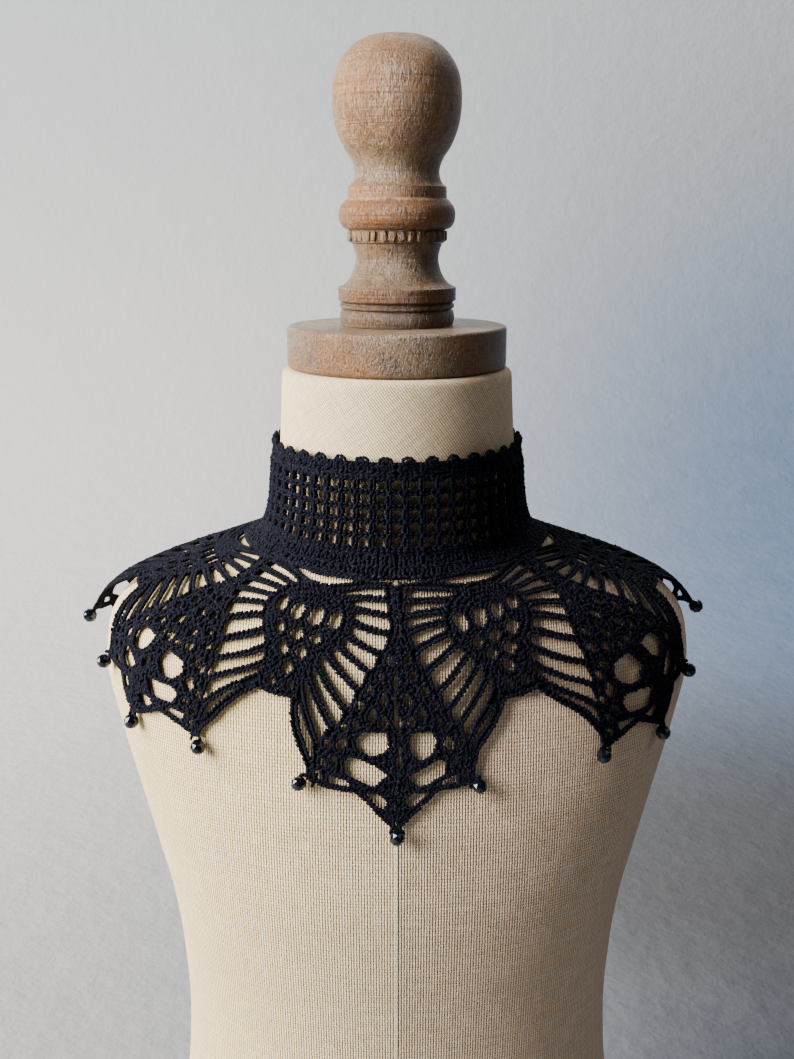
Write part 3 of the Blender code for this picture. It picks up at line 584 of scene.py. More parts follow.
def easedProfile(profile, step):
    # Points along a turned profile, smooth between its crisp corners
    points = np.array([(height, radius) for height, radius, _ in profile])
    crisp = [corner for _, _, corner in profile]
    line = [points[0]]
    for i, (start, end) in enumerate(zip(points, points[1:])):
        leave = end - start if crisp[i] else (end - points[i - 1]) / 2
        arrive = end - start if crisp[i + 1] else (points[i + 2] - start) / 2
        count = max(1, round(np.linalg.norm(end - start) / step))
        line += [eased(start, leave, end, arrive, t) for t in np.linspace(0, 1, count + 1)[1:]]
    return line


def turnedPiece(profile, sides):
    # A solid of revolution about Z from a profile that starts and ends on the axis
    bm = bmesh.new()
    verts = [bm.verts.new((max(radius, 0), 0, height)) for height, radius in profile]
    edges = [bm.edges.new(pair) for pair in zip(verts, verts[1:])]
    bmesh.ops.spin(
        bm, geom=verts + edges, axis=(0, 0, 1), cent=(0, 0, 0),
        steps=sides, angle=2 * math.pi, use_merge=True,
    )
    bmesh.ops.remove_doubles(bm, verts=bm.verts, dist=1e-6)
    bmesh.ops.recalc_face_normals(bm, faces=bm.faces)
    return bm


def makeDisc():
    look = woodenTop
    radius, edge = look["discRadius"], look["discEdge"]
    low, high = look["discBottom"], look["discTop"]
    turns = (0.5, 1.05, 1.57)
    bends = [(edge * (1 - math.cos(a)), radius - edge * (1 - math.sin(a))) for a in turns]
    profile = [(low, 0), (low, radius - edge * 1.6), (low, radius - edge)]
    profile += [(low + rise, reach) for rise, reach in bends]
    profile += [(low + (high - low) * share, radius) for share in (0.3, 0.6)]
    profile += [(high - rise, reach) for rise, reach in reversed(bends)]
    profile += [(high, radius - edge), (high, radius - edge * 1.6), (high, radius / 2), (high, 0)]
    bm = turnedPiece(profile, look["sides"])
    for vert in bm.verts:  # hand-worn, so its rim is not quite round
        if math.hypot(vert.co.x, vert.co.y) > radius * 0.9:
            around, share = math.atan2(vert.co.y, vert.co.x), 1
            for waves, start, depth in look["wobbles"]:
                share -= depth * (1 + math.sin(waves * around + start)) * 0.5
            vert.co.x, vert.co.y = vert.co.x * share, vert.co.y * share
    addPiece("neckDisc", meshOf(bm, "neckDisc", 42), discWood, ["neck_disc"])


def makeFinial():
    look = woodenTop
    seat, profile = look["finialSeat"], easedProfile(look["profile"], look["profileStep"])
    bm = turnedPiece([(seat + height, radius) for height, radius in profile], look["sides"])
    addPiece("turnedFinial", meshOf(bm, "turnedFinial", 38), finialWood, ["finial"])


def makeCarving():
    # A band of uneven cut teeth under the torus
    look = woodenTop
    deep, wide, tall = look["toothSize"]
    middle = look["finialSeat"] + look["toothHeight"]
    bm = bmesh.new()
    for i in range(look["teeth"]):
        around = 2 * math.pi * (i + 0.16 * math.sin(2.9 * i)) / look["teeth"]
        size = (deep, wide * (1 + 0.28 * math.sin(5.1 * i)), tall * (1 + 0.08 * math.sin(4.3 * i)))
        reach = look["toothRadius"] + 0.0003 * math.sin(7.7 * i)
        tooth = bmesh.ops.create_cube(bm, size=1.0)["verts"]
        bmesh.ops.scale(bm, vec=size, verts=tooth)
        rims = {edge for vert in tooth for edge in vert.link_edges}
        tooth = bmesh.ops.bevel(
            bm, geom=list(rims), offset=look["toothEdge"], segments=2, profile=0.5, affect="EDGES",
            material=-1,
        )["verts"]
        tilt = Matrix.Rotation(0.30 * math.sin(3.7 * i), 3, "X")
        bmesh.ops.rotate(bm, matrix=tilt, verts=tooth)
        bmesh.ops.translate(bm, vec=(reach, 0, middle), verts=tooth)
        bmesh.ops.rotate(bm, matrix=Matrix.Rotation(around, 3, "Z"), verts=tooth)
    addPiece("finialCarving", meshOf(bm, "finialCarving", 60), finialWood)


linenMesh = makeForm().data
makeDisc()
makeFinial()
makeCarving()
formFaces = [face.vertices for face in linenMesh.polygons]
formTree = BVHTree.FromPolygons([vert.co for vert in linenMesh.vertices], formFaces)
print("stage: form and wooden top made")


# Where the cloth lies on the form, as in the part. A lap is a share of the way round as an angle,
# 0 at the front and 180 at the back, and a depth is a length down the form from the collar's top.
cloth = {
    "wall": 0.0020,
    "formGap": 0.0007,
    "collarTop": 0.4360,
    "collarDepth": 0.0485,
    "collarEase": (0.0006, 0.03),  # at the top, and the depth where it ends
    "backOpening": 0.8,
    "shoulderLifts": (0.0065, 0.0038),  # on the left and the right
    "shoulderLap": 91.0,
    "shoulderReach": 26.0,
    "shoulderRun": (34.0, 80.0),
    # lap, degrees outward on the left and right, millimetres down on the left and right
    "hang": [
        (6.0, 0.0, 0.0, 0.0, 0.0),
        (18.2, 1.0, -2.3, -1.3, -2.7),
        (34.8, 6.9, 9.0, 3.1, 8.8),
        (53.0, 7.9, 9.0, -1.5, 4.4),
        (71.2, 0.2, -0.6, -3.2, -0.4),
        (88.0, 1.6, 2.6, -6.8, -10.4),
        (112.0, 0.0, 0.0, 0.0, 0.0),
    ],
    "hangRun": (34.0, 86.0),
    "tableAbove": 9,  # millimetres of the table over the collar's top
    "tableBelow": 170,
    "tableStep": 0.0005,
}


def makeSurfaceTable():
    # The form's points for each degree round it and each millimetre down from the collar's top
    look, above = cloth, 20
    places = np.linspace(0, formKnots[-1], 4001)
    start = np.interp(-look["collarTop"], -sectionsAt(places)[:, 0], places)
    sections = sectionsAt(start + look["tableStep"] * np.arange(-above, 500))
    lines = ringPoints(sections[None], np.radians(np.arange(181.0))[:, None])
    lengths = runAlong(lines, 1)
    lengths -= lengths[:, above : above + 1]
    depths = np.arange(-look["tableAbove"], look["tableBelow"]) * mm
    table = [[np.interp(depths, run, axis) for axis in line.T] for run, line in zip(lengths, lines)]
    return np.moveaxis(np.array(table), 1, 2)


def between(table, i, j):
    # Bilinear reading of a table at places between its rows and columns
    i = np.clip(i, 0, table.shape[0] - 1.0001)
    j = np.clip(j, 0, table.shape[1] - 1.0001)
    low, left = i.astype(int), j.astype(int)
    down, right = i - low, j - left
    if table.ndim == 3:
        down, right = down[..., None], right[..., None]
    upper = table[low, left] * (1 - right) + table[low, left + 1] * right
    lower = table[low + 1, left] * (1 - right) + table[low + 1, left + 1] * right
    return upper * (1 - down) + lower * down


surfaceTable = makeSurfaceTable()
turns, runs = np.arange(181.0), runAlong(surfaceTable).T
turnTable = np.array([np.interp(turns / 180 * run[-1], run, turns) for run in runs])


def shareDown(depths, run):
    # How far each depth is down a run of millimetres below the collar, from 0 to 1
    start, end = run
    return np.clip(((depths - cloth["collarDepth"]) / mm - start) / (end - start), 0, 1)


def shoulderShare(laps, depths):
    side = 1 - np.abs(np.abs(laps) - cloth["shoulderLap"]) / cloth["shoulderReach"]
    side = np.clip(side, 0, 1)
    return shareDown(depths, cloth["shoulderRun"]) ** 1.5 * side**2 * (3 - 2 * side)


def drape(laps, depths):
    # Points on the form, with the lace's sag and spread
    at, *columns = np.array(cloth["hang"]).T
    share = shareDown(depths, cloth["hangRun"])
    share = share**2 * (3 - 2 * share)
    hung = [np.interp(np.abs(laps), at, column, right=0.0) * share for column in columns]
    outLeft, outRight, downLeft, downRight = hung
    depths = depths + np.where(laps < 0, downLeft, downRight) * mm
    laps = laps + np.sign(laps) * np.where(laps < 0, outLeft, outRight)
    rows = depths / mm + cloth["tableAbove"]
    points = between(surfaceTable, between(turnTable, rows, np.abs(laps)), rows)
    points[..., 0] *= np.where(laps < 0, -1, 1)
    return points


def clothNormals(laps, depths):
    over = drape(laps + 0.6, depths) - drape(laps - 0.6, depths)
    down = drape(laps, depths + mm) - drape(laps, depths - mm)
    normals = np.cross(down, over)
    return normals / np.linalg.norm(normals, axis=-1, keepdims=True)


def clothPoints(laps, depths, above):
    # above is the height over the cloth's inner face, in metres
    laps, depths = (np.asarray(x, float) for x in (laps, depths))
    ease, run = cloth["collarEase"]
    lift = cloth["formGap"] + above + ease * np.clip(1 - depths / run, 0, 1)
    lift = lift + np.where(laps < 0, *cloth["shoulderLifts"]) * shoulderShare(laps, depths)
    return drape(laps, depths) + clothNormals(laps, depths) * np.asarray(lift)[..., None]


# The bib's chart, laid flat in millimetres, as in the part. r runs outward from the collar, and
# across from the middle line of a leaf or of the cone motif beside it.
chart = {
    "sideRepeats": 3,
    "unevenness": 0.45,
    "repeatLap": 53.0,
    "repeatWidth": 53.9,
    "repeatSpread": 0.636,
    "chainWidth": 2.7,
    "leafEdge": [
        (0.4, 4.0), (2.5, 2.6), (19.0, 2.6), (26.0, 6.0), (34.0, 9.2),
        (48.0, 17.0), (58.0, 23.2), (66.0, 28.5), (73.4, 32.4),
    ],
    "leafHem": [
        (75.4, 34.2), (79.0, 35.0), (80.6, 32.6), (80.8, 26.0), (80.5, 16.0), (86.5, 8.6),
        (91.2, 1.8),
    ],
    "leafTip": 91.8,
    "coneEdge": [
        (7.0, 6.0), (8.5, 9.0), (12.0, 12.6), (16.0, 14.8), (22.0, 15.6),
        (27.0, 14.4), (31.0, 11.6), (36.0, 8.8), (42.0, 7.2), (50.2, 6.4),
    ],
    "coneFoot": 52.0,
    "footCorner": (0.9, -0.8),  # from the last point of the cone's edge
    # leaf end and cone end of each chain
    "chains": [
        (1.4, 7.4), (7.2, 10.2), (13.6, 13.4), (20.2, 17.6), (27.2, 22.2), (34.6, 26.6),
        (42.0, 31.0), (50.0, 35.6), (58.0, 40.6), (66.0, 45.6), (73.4, 49.8),
    ],
    "narrowestGap": 0.8,
    "gapRun": (0.04, 0.97),  # shares of the chains' length
    # corners of the gaps on each side of a leaf's midrib
    "leafGaps": [
        [(41.8, 3.6), (45.2, 5.7), (49.0, 4.8), (45.6, 2.5)],
        [(47.4, 8.2), (50.2, 10.6), (53.4, 9.6), (50.6, 7.0)],
        [(56.6, 4.0), (56.4, 12.4), (60.5, 15.2), (64.6, 13.4), (66.4, 8.6), (63.0, 3.9)],
        [(59.6, 18.8), (63.0, 21.9), (66.4, 21.4), (63.2, 17.6)],
        [(72.6, 3.8), (69.4, 9.4), (67.3, 15.6), (69.4, 18.8), (74.0, 18.4), (77.4, 9.2)],
        [(75.0, 25.4), (76.6, 17.4), (78.3, 17.4), (78.5, 25.6)],
        [(79.8, 12.2), (79.4, 6.6), (82.2, 3.5), (84.8, 6.2), (82.6, 9.6)],
    ],
    # r and across of the smallest gaps, under 4 millimetres, which the part leaves closed
    "pinholes": [
        (29.5, 3.2), (35.8, 5.6), (41.6, 9.2), (47.0, 13.2), (52.8, 4.5), (54.0, 15.4),
        (56.2, 19.2), (64.6, 25.0), (70.0, 22.6), (71.4, 27.2), (76.4, 29.6),
    ],
    "conePinholes": [(46.4, 3.0)],
    "pinholeHalf": (1.3, 1.95),
    # r, half width and half height of the slits in a leaf's midrib
    "leafSlits": [(38.0, 1.5, 3.6), (53.0, 1.7, 3.5), (67.5, 1.5, 3.6)],
    # r, count, pitch, half width, half height, corners
    "coneRows": [
        (18.6, 4, 6.7, 2.4, 4.0, 6), (27.2, 3, 6.5, 2.4, 3.1, 4),
        (33.7, 2, 6.5, 2.3, 3.0, 4), (40.0, 1, 6.5, 2.3, 3.0, 4),
    ],
    "coneMiddle": 21.5,
    "slit": [(1.4, 14.5), (3.6, 9.8), (5.0, 5.0), (5.3, 0.0)],
    "slitTop": (1.4, (-7.0, 0.0, 7.0)),
    "beadInset": (1.2, 0.6),  # of the side beads, inward and outward from the hem's corner
}


def repeatWidth(r):
    return chart["repeatWidth"] + chart["repeatSpread"] * r


def edgeAcross(edge, r):
    return np.interp(r, *zip(*chart[edge]))


def laidFlat(lap, r):
    angle = np.asarray(chart["repeatSpread"] * lap / chart["repeatLap"])
    radius = chart["repeatWidth"] / chart["repeatSpread"] + r
    return np.stack([radius * np.sin(angle), radius * np.cos(angle)], axis=-1)


def onLeaf(leaf, side, across, r):
    # Beside a leaf's middle line
    return laidFlat(chart["repeatLap"] * (leaf + side * across / repeatWidth(r)), r)


def onCone(leaf, side, across, r):
    # Beside the middle line of the cone motif between two leaves
    return onLeaf(leaf + 0.5, side, across, r)


def unevenly(x, y):
    # The chart as hands made it: its chains bend and its gaps differ a little
    dx = np.sin(x / 4.1 + y / 7.3) + np.sin(x / 9.7 - y / 5.9 + 1.3)
    dy = np.sin(y / 4.7 - x / 8.1 + 2.1) + np.sin(x / 5.3 + y / 11.9)
    return x + chart["unevenness"] * dx, y + chart["unevenness"] * dy


def bibPlace(x, y):
    # Lap and depth of a place on the flat chart
    lap = np.arctan2(x, y) * chart["repeatLap"] / chart["repeatSpread"]
    r = np.hypot(x, y) - chart["repeatWidth"] / chart["repeatSpread"]
    return lap, cloth["collarDepth"] + r * mm


def wornPlace(x, y):
    return bibPlace(*unevenly(x, y))


def halfOutline():
    look = chart
    hem = look["leafHem"]
    points = [onLeaf(0, 1, 0.2, r) for r in np.linspace(0.4, look["leafTip"], 13)]
    footR, footAcross = np.add(look["coneEdge"][-1], look["footCorner"])
    for leaf in range(look["sideRepeats"]):
        points += [onLeaf(leaf, 1, across, r) for r, across in reversed(hem)]
        points.append(onCone(leaf, -1, footAcross, footR))
        points.append(onCone(leaf, 1, 0.0, look["coneFoot"]))
        points.append(onCone(leaf, 1, footAcross, footR))
        points += [onLeaf(leaf + 1, -1, across, r) for r, across in hem]
        points.append(onLeaf(leaf + 1, 1, 0.0, look["leafTip"]))
    back = reversed(look["leafEdge"] + hem)
    points += [onLeaf(look["sideRepeats"], 1, across, r) for r, across in back]
    endLap = bibPlace(*points[-1])[0]
    points += [laidFlat(lap, 0.4) for lap in np.linspace(endLap, 0, 34)[1:-1]]
    return np.array(points)


def chainGaps(leaf, side):
    # Gaps between neighbouring chains on one side of a leaf
    ends = []
    for leafR, coneR in chart["chains"]:
        start = onLeaf(leaf, side, edgeAcross("leafEdge", leafR), leafR)
        cone = leaf if side > 0 else leaf - 1
        ends.append((start, onCone(cone, -side, edgeAcross("coneEdge", coneR), coneR)))
    gaps = []
    for upper, lower in zip(ends, ends[1:]):
        sides = []
        for (start, end), towards in ((upper, lower), (lower, upper)):
            run = (end - start) / np.linalg.norm(end - start)
            normal = np.array([-run[1], run[0]])
            normal *= math.copysign(chart["chainWidth"] / 2, np.dot(normal, towards[0] - start))
            sides.append((start + normal, end + normal, normal / np.linalg.norm(normal)))
        (a0, a1, normal), (b0, b1, _) = sides
        wide, narrow = np.dot(b0 - a0, normal), np.dot(b1 - a1, normal)
        first, last = chart["gapRun"]
        last = min(last, (wide - chart["narrowestGap"]) / max(wide - narrow, 1e-6))
        loop = [a0 + (a1 - a0) * share for share in (first, last)]
        gaps.append(np.array(loop + [b0 + (b1 - b0) * share for share in (last, first)]))
    return gaps


def roundGap(place, leaf, side, across, r, half, corners, start=0, turn=1):
    # A gap with even corners, half its width and half its height from its middle
    angles = start + turn * 2 * math.pi * np.arange(corners) / corners
    return place(leaf, side, across + half[0] * np.sin(angles), r - half[1] * np.cos(angles))


def leafGaps(leaf, side):
    return [onLeaf(leaf, side, *np.array(gap).T[::-1]) for gap in chart["leafGaps"]]


def midribGaps(leaf):
    return [roundGap(onLeaf, leaf, 1, 0, r, half, 4, 0, -1) for r, *half in chart["leafSlits"]]


def pinholes(place, which, leaf, side):
    half, start = chart["pinholeHalf"], math.pi / 2
    return [roundGap(place, leaf, side, across, r, half, 6, start) for r, across in chart[which]]


def coneGaps(leaf):
    # The net inside a cone motif, and the slit between its crown and the collar
    gaps = []
    for r, count, pitch, *half, corners in chart["coneRows"]:
        for i in range(count):
            middle = (i - (count - 1) / 2) * pitch
            gaps.append(roundGap(onCone, leaf, 1, middle, r, half, corners))
    slit, (top, reaches) = chart["slit"], chart["slitTop"]
    rim = [(r, across) for r, across in slit] + [(r, -across) for r, across in reversed(slit[:-1])]
    rim += [(top, reach) for reach in reaches]
    gaps.append(onCone(leaf, 1, *np.array(rim).T[::-1]))
    return gaps


# Stitches. A lobe is one bulge of yarn: a small spindle on the cloth, placed by its middle on a
# flat chart, its heading there, its size in millimetres and its height over the inner face.
lobeShape = {
    "sides": 6,
    "rings": 4,
    "profile": {-1: 0.70, 0: 1.0, 1: 0.80},  # thickness of the rings, from the thin end
    "ringReach": 0.94,
}
# How unevenly hands work: millimetres aside, degrees, share of the size, millimetres up
handwork = {"aside": 0.10, "turn": 6, "size": 0.06, "up": 0.06, "sizeLimits": (0.75, 1.25)}


def makeLobe():
    # The lobe's mesh as arrays: unit points, faces, and how far along and round it each corner is
    look = lobeShape
    bm = bmesh.new()
    bmesh.ops.create_uvsphere(bm, u_segments=look["sides"], v_segments=look["rings"], radius=0.5)
    bmesh.ops.rotate(bm, matrix=Matrix.Rotation(math.pi / 2, 3, "Y"), verts=bm.verts)
    bmesh.ops.triangulate(bm, faces=bm.faces)
    for vert in bm.verts:
        ring = round(vert.co.x * 3)
        if abs(vert.co.x) < 0.49:
            share = look["profile"][ring] / max(math.hypot(vert.co.y, vert.co.z) * 2, 1e-6)
            vert.co.y, vert.co.z = vert.co.y * share, vert.co.z * share
            vert.co.x *= look["ringReach"]
    points = np.array([v.co for v in bm.verts])
    bm.verts.index_update()
    faces = np.array([[v.index for v in face.verts] for face in bm.faces])
    bm.free()
    corners = (np.arctan2(points[:, 2], points[:, 1]) / (2 * math.pi))[faces]
    poles = np.hypot(points[:, 1], points[:, 2])[faces] < 1e-4
    for row, pole in zip(corners, poles):
        free = row[~pole]
        if free.max() - free.min() > 0.5:
            row[row < 0] += 1
        row[pole] = row[~pole].mean()
    return points, faces, np.stack([points[faces][..., 0] + 0.5, corners], axis=-1)


lobePoints, lobeFaces, lobeCorners = makeLobe()


def lobes(x, y, heading, length, width, above, thick=None, rise=0.0, tone=0.5):
    # One row for each lobe: heading in degrees, the rest in millimetres
    thick = width if thick is None else thick
    columns = np.broadcast_arrays(x, y, heading, length, width, thick, above, rise, tone)
    return np.stack([np.asarray(column, float).ravel() for column in columns], axis=-1)


def jittered(rows, seed, share=1.0):
    # The small unevenness of handwork
    look, dice = handwork, np.random.default_rng(seed)
    rows = rows.copy()
    rows[:, :2] += dice.normal(0, look["aside"] * share, (len(rows), 2))
    rows[:, 2] += dice.normal(0, look["turn"] * share, len(rows))
    sizes = dice.normal(1, look["size"] * share, (len(rows), 3))
    rows[:, 3:6] *= sizes.clip(*look["sizeLimits"])
    rows[:, 6] += dice.normal(0, look["up"] * share, len(rows))
    rows[:, 8] = dice.uniform(0, 1, len(rows))
    return rows


def mirrored(rows):
    rows = rows.copy()
    rows[:, 0], rows[:, 2] = -rows[:, 0], 180 - rows[:, 2]
    return rows


def headingOf(run):
    # Degrees from the chart's x towards its y
    return np.degrees(np.arctan2(run[..., 1], run[..., 0]))


def unit(vectors):
    return vectors / np.linalg.norm(vectors, axis=-1, keepdims=True)


def stitchMesh(name, rows, toCloth):
    # One mesh of lobes, joined from arrays, on the cloth's surface
    x, y, heading, length, width, thick, above, rise, tone = rows.T
    turn = np.radians(heading)
    dx, dy = np.cos(turn) * length / 2, np.sin(turn) * length / 2
    middle = clothPoints(*toCloth(x, y), above * mm)
    ahead = clothPoints(*toCloth(x + dx, y + dy), (above + rise) * mm)
    behind = clothPoints(*toCloth(x - dx, y - dy), (above - rise) * mm)
    along = unit(ahead - behind)
    aside = unit(np.cross(clothNormals(*toCloth(x, y)), along))
    up = np.cross(along, aside)
    sized = [along * length[:, None], aside * width[:, None], up * thick[:, None]]
    points = middle[:, None] + np.einsum("va,nac->nvc", lobePoints, np.stack(sized, axis=1) * mm)
    count, perLobe = len(rows), len(lobePoints)
    faces = lobeFaces[None] + (np.arange(count) * perLobe)[:, None, None]
    mesh = bpy.data.meshes.new(name)
    mesh.vertices.add(count * perLobe)
    mesh.vertices.foreach_set("co", points.astype(np.float32).ravel())
    mesh.loops.add(faces.size)
    mesh.loops.foreach_set("vertex_index", faces.astype(np.int32).ravel())
    mesh.polygons.add(faces.size // 3)
    mesh.polygons.foreach_set("loop_start", np.arange(0, faces.size, 3, dtype=np.int32))
    mesh.update(calc_edges=True)
    run = np.random.default_rng(len(rows)).uniform(0, 3, (count, 1, 1, 2))
    corners = lobeCorners[None] * np.stack([length, np.ones(count)], axis=-1)[:, None, None] + run
    mesh.uv_layers.new(name="yarnRun").data.foreach_set("uv", corners.astype(np.float32).ravel())
    tones = mesh.attributes.new("stitchTone", "FLOAT", "POINT")
    tones.data.foreach_set("value", np.repeat(tone, perLobe).astype(np.float32))
    mesh.shade_smooth()
    mesh.validate()
    return mesh


def resampled(points, pitch, closed=True):
    # Points at an even pitch along a line
    if closed:
        points = np.vstack([points, points[:1]])
    run = runAlong(points)
    count = max(3, round(run[-1] / pitch))
    at = np.linspace(0, run[-1], count + 1)
    at = at[:-1] if closed else at
    return np.stack([np.interp(at, run, column) for column in points.T], axis=1)


def signedArea(loop):
    x, y = loop.T
    return np.sum(x * np.roll(y, -1) - y * np.roll(x, -1)) / 2


def alongLoop(line):
    return np.roll(line, -1, 0) - np.roll(line, 1, 0)


def offset(loop, outward, softening, pitch):
    # A closed loop with softened corners, moved outward by millimetres, as points at a pitch
    line = resampled(loop[::-1] if signedArea(loop) < 0 else loop, 0.4)
    for _ in range(softening):
        line = (np.roll(line, 1, 0) + 2 * line + np.roll(line, -1, 0)) / 4
    run = unit(alongLoop(line))
    return resampled(line + np.stack([run[:, 1], -run[:, 0]], axis=1) * outward, pitch)


def edgeRow(loop, inset):
    # A row of lobes along a closed loop, inset millimetres outside it (or inside, if negative)
    look = bibStitches["edge"]
    line = offset(loop, inset, look["softening"], look["pitch"])
    return lobes(*line.T, headingOf(alongLoop(line)) + look["slant"], *look["shape"])


def segmentsOf(loops):
    # Starts and ends of the segments of closed loops
    return np.concatenate(loops), np.concatenate([np.roll(loop, -1, 0) for loop in loops])


def byBlocks(points, measure):
    # Measures points a few hundred at a time, which keeps the arrays small
    blocks = np.array_split(points, max(1, len(points) // 400))
    return np.concatenate([measure(block) for block in blocks])


def clearance(points, segments):
    # Distance of each point from the nearest of the segments
    start, end = segments
    run = end - start
    square = np.maximum((run**2).sum(-1), 1e-12)

    def nearest(block):
        away = block[:, None] - start[None]
        along = np.clip((away * run).sum(-1) / square, 0, 1)
        return np.linalg.norm(away - along[..., None] * run, axis=-1).min(axis=1)

    return byBlocks(points, nearest)


def onLace(points, segments):
    # Whether each point lies in the lace, by counting the edges to its right
    start, end = segments
    rise = np.where(end[:, 1] == start[:, 1], 1e-12, end[:, 1] - start[:, 1])

    def inside(block):
        x, y = block[:, :1], block[:, 1:]
        crosses = (start[:, 1] > y) != (end[:, 1] > y)
        at = start[:, 0] + (y - start[:, 1]) * (end[:, 0] - start[:, 0]) / rise
        return (crosses & (x < at)).sum(axis=1) % 2 == 1

    return byBlocks(points, inside)


# A lobe's shape is its length, width and height over the cloth's inner face.
bibStitches = {
    "edge": {"pitch": 1.62, "shape": (2.45, 1.42, 1.30), "slant": 30, "softening": 2},
    "edgeInset": 0.64,
    "tipShape": (2.5, 1.45),
    "tipRise": 0.2,
    # millimetres past the tip and to each side of it, degrees outward, height
    "tipPlaces": [
        (-3.6, 0.7, 0, 1.3), (-2.0, 1.0, 6, 1.4), (-0.6, 1.5, 14, 1.6), (0.8, 2.2, 26, 1.9),
        (-0.5, 0.5, 0, 1.5),
    ],
    "fillClearance": 1.3,
    "fillMargin": 2,
    "rowPitch": 3.3,
    "rowTiers": ((0.18, 24), (0.46, -24), (0.74, 24)),  # share of a row's pitch, degrees
    "postPitch": 1.75,
    "postShape": (2.4, 1.32, 1.22),
    "ridgePitch": 1.9,
    "ridgeSlant": 16,
    "ridgeShape": (2.5, 1.2, 1.50),
    "coneRow": 1.75,
    "coneTop": 5.5,
    "coneReach": 33.0,
    "coneTwist": ((27, 0.42), (-27, -0.42)),  # degrees, millimetres aside
    "coneShape": (2.3, 1.2, 1.32),
    "seamClear": 0.9,
    "seamHalf": 0.5,
    "tipRadius": 170,
    "leafUneven": 2.2,
    "coneUneven": 1.5,
}


def halfLeaf(r):
    edge = chart["leafEdge"] + chart["leafHem"] + [(chart["leafTip"], 0.0)]
    return float(np.interp(r, *zip(*edge)))


def spread(reach, pitch):
    # Even places across a leaf, within its margins
    width = 2 * reach - bibStitches["fillMargin"]
    count = max(1, round(width / pitch))
    return (np.arange(count) - (count - 1) / 2) * width / count


def leafFill(leaf):
    # Rows of tall stitches down a leaf, fanned out between its edges, with a ridge above each row
    look = bibStitches
    rows = []
    for r in np.arange(2.0, chart["leafTip"], look["rowPitch"]):
        for share, slant in look["rowTiers"]:
            at = r + share * look["rowPitch"]
            reach = halfLeaf(at)
            if reach >= 1.2:
                parts = spread(reach, look["postPitch"]) / reach
                here = onLeaf(leaf, 1, parts * reach, at)
                there = onLeaf(leaf, 1, parts * halfLeaf(at + 0.5), at + 0.5)
                rows.append(lobes(*here.T, headingOf(there - here) + slant, *look["postShape"]))
        overs = spread(halfLeaf(r), look["ridgePitch"])
        here, there = onLeaf(leaf, 1, overs, r), onLeaf(leaf, 1, overs + 0.5, r)
        heading = headingOf(there - here) + look["ridgeSlant"]
        rows.append(lobes(*here.T, heading, *look["ridgeShape"]))
    return np.concatenate(rows)


def coneFill(leaf):
    # Short stitches in rings round a cone motif's middle
    look = bibStitches
    rows = []
    for ring, radius in enumerate(np.arange(1.0, look["coneReach"], look["coneRow"])):
        count = max(4, round(2 * math.pi * radius / look["coneRow"]))
        angles = 2 * math.pi * (np.arange(count) + 0.5 * (ring % 2)) / count
        overs, rs = radius * np.sin(angles), chart["coneMiddle"] - radius * np.cos(angles)
        keep = (rs > look["coneTop"]) & (rs < chart["coneFoot"])
        keep &= np.abs(overs) < edgeAcross("coneEdge", rs) + 1
        if not keep.any():
            continue
        overs, rs, angles = overs[keep], rs[keep], angles[keep]
        here = onCone(leaf, 1, overs, rs)
        there = onCone(leaf, 1, overs + 0.5 * np.sin(angles), rs - 0.5 * np.cos(angles))
        heading = headingOf(there - here)
        aside = np.radians(heading + 90)
        for slant, shift in look["coneTwist"]:
            x, y = here[:, 0] + shift * np.cos(aside), here[:, 1] + shift * np.sin(aside)
            rows.append(lobes(x, y, heading + slant, *look["coneShape"]))
    return np.concatenate(rows)


def sideTip():
    # Across and r of the bead at a leaf's lower corner
    r, across = chart["leafHem"][1]
    inward, outward = chart["beadInset"]
    return across - inward, r + outward


def tipRows():
    # Stitches that draw each tip of the lace out round its bead
    look = bibStitches
    rows = []
    for leaf in range(chart["sideRepeats"] + 1):
        tips = [(0, 0.0, chart["leafTip"], 0.0), (1, *sideTip(), 0.8)]
        tips += [(-1, *sideTip(), 0.8)] * (leaf > 0)
        for side, across, r, lean in tips:
            base = onLeaf(leaf, side or 1, across, r)
            ahead = unit(onLeaf(leaf, side or 1, across + lean, r + 1.0) - base)
            aside = np.array([-ahead[1], ahead[0]])
            for run, out, turn, above in look["tipPlaces"]:
                for hand in (-1, 1):
                    x, y = base + ahead * run + aside * out * hand
                    if leaf or side or x >= 0:
                        heading = headingOf(ahead) + hand * turn
                        row = lobes(x, y, heading, *look["tipShape"], above, rise=look["tipRise"])
                        rows.append(row)
    return np.concatenate(rows)


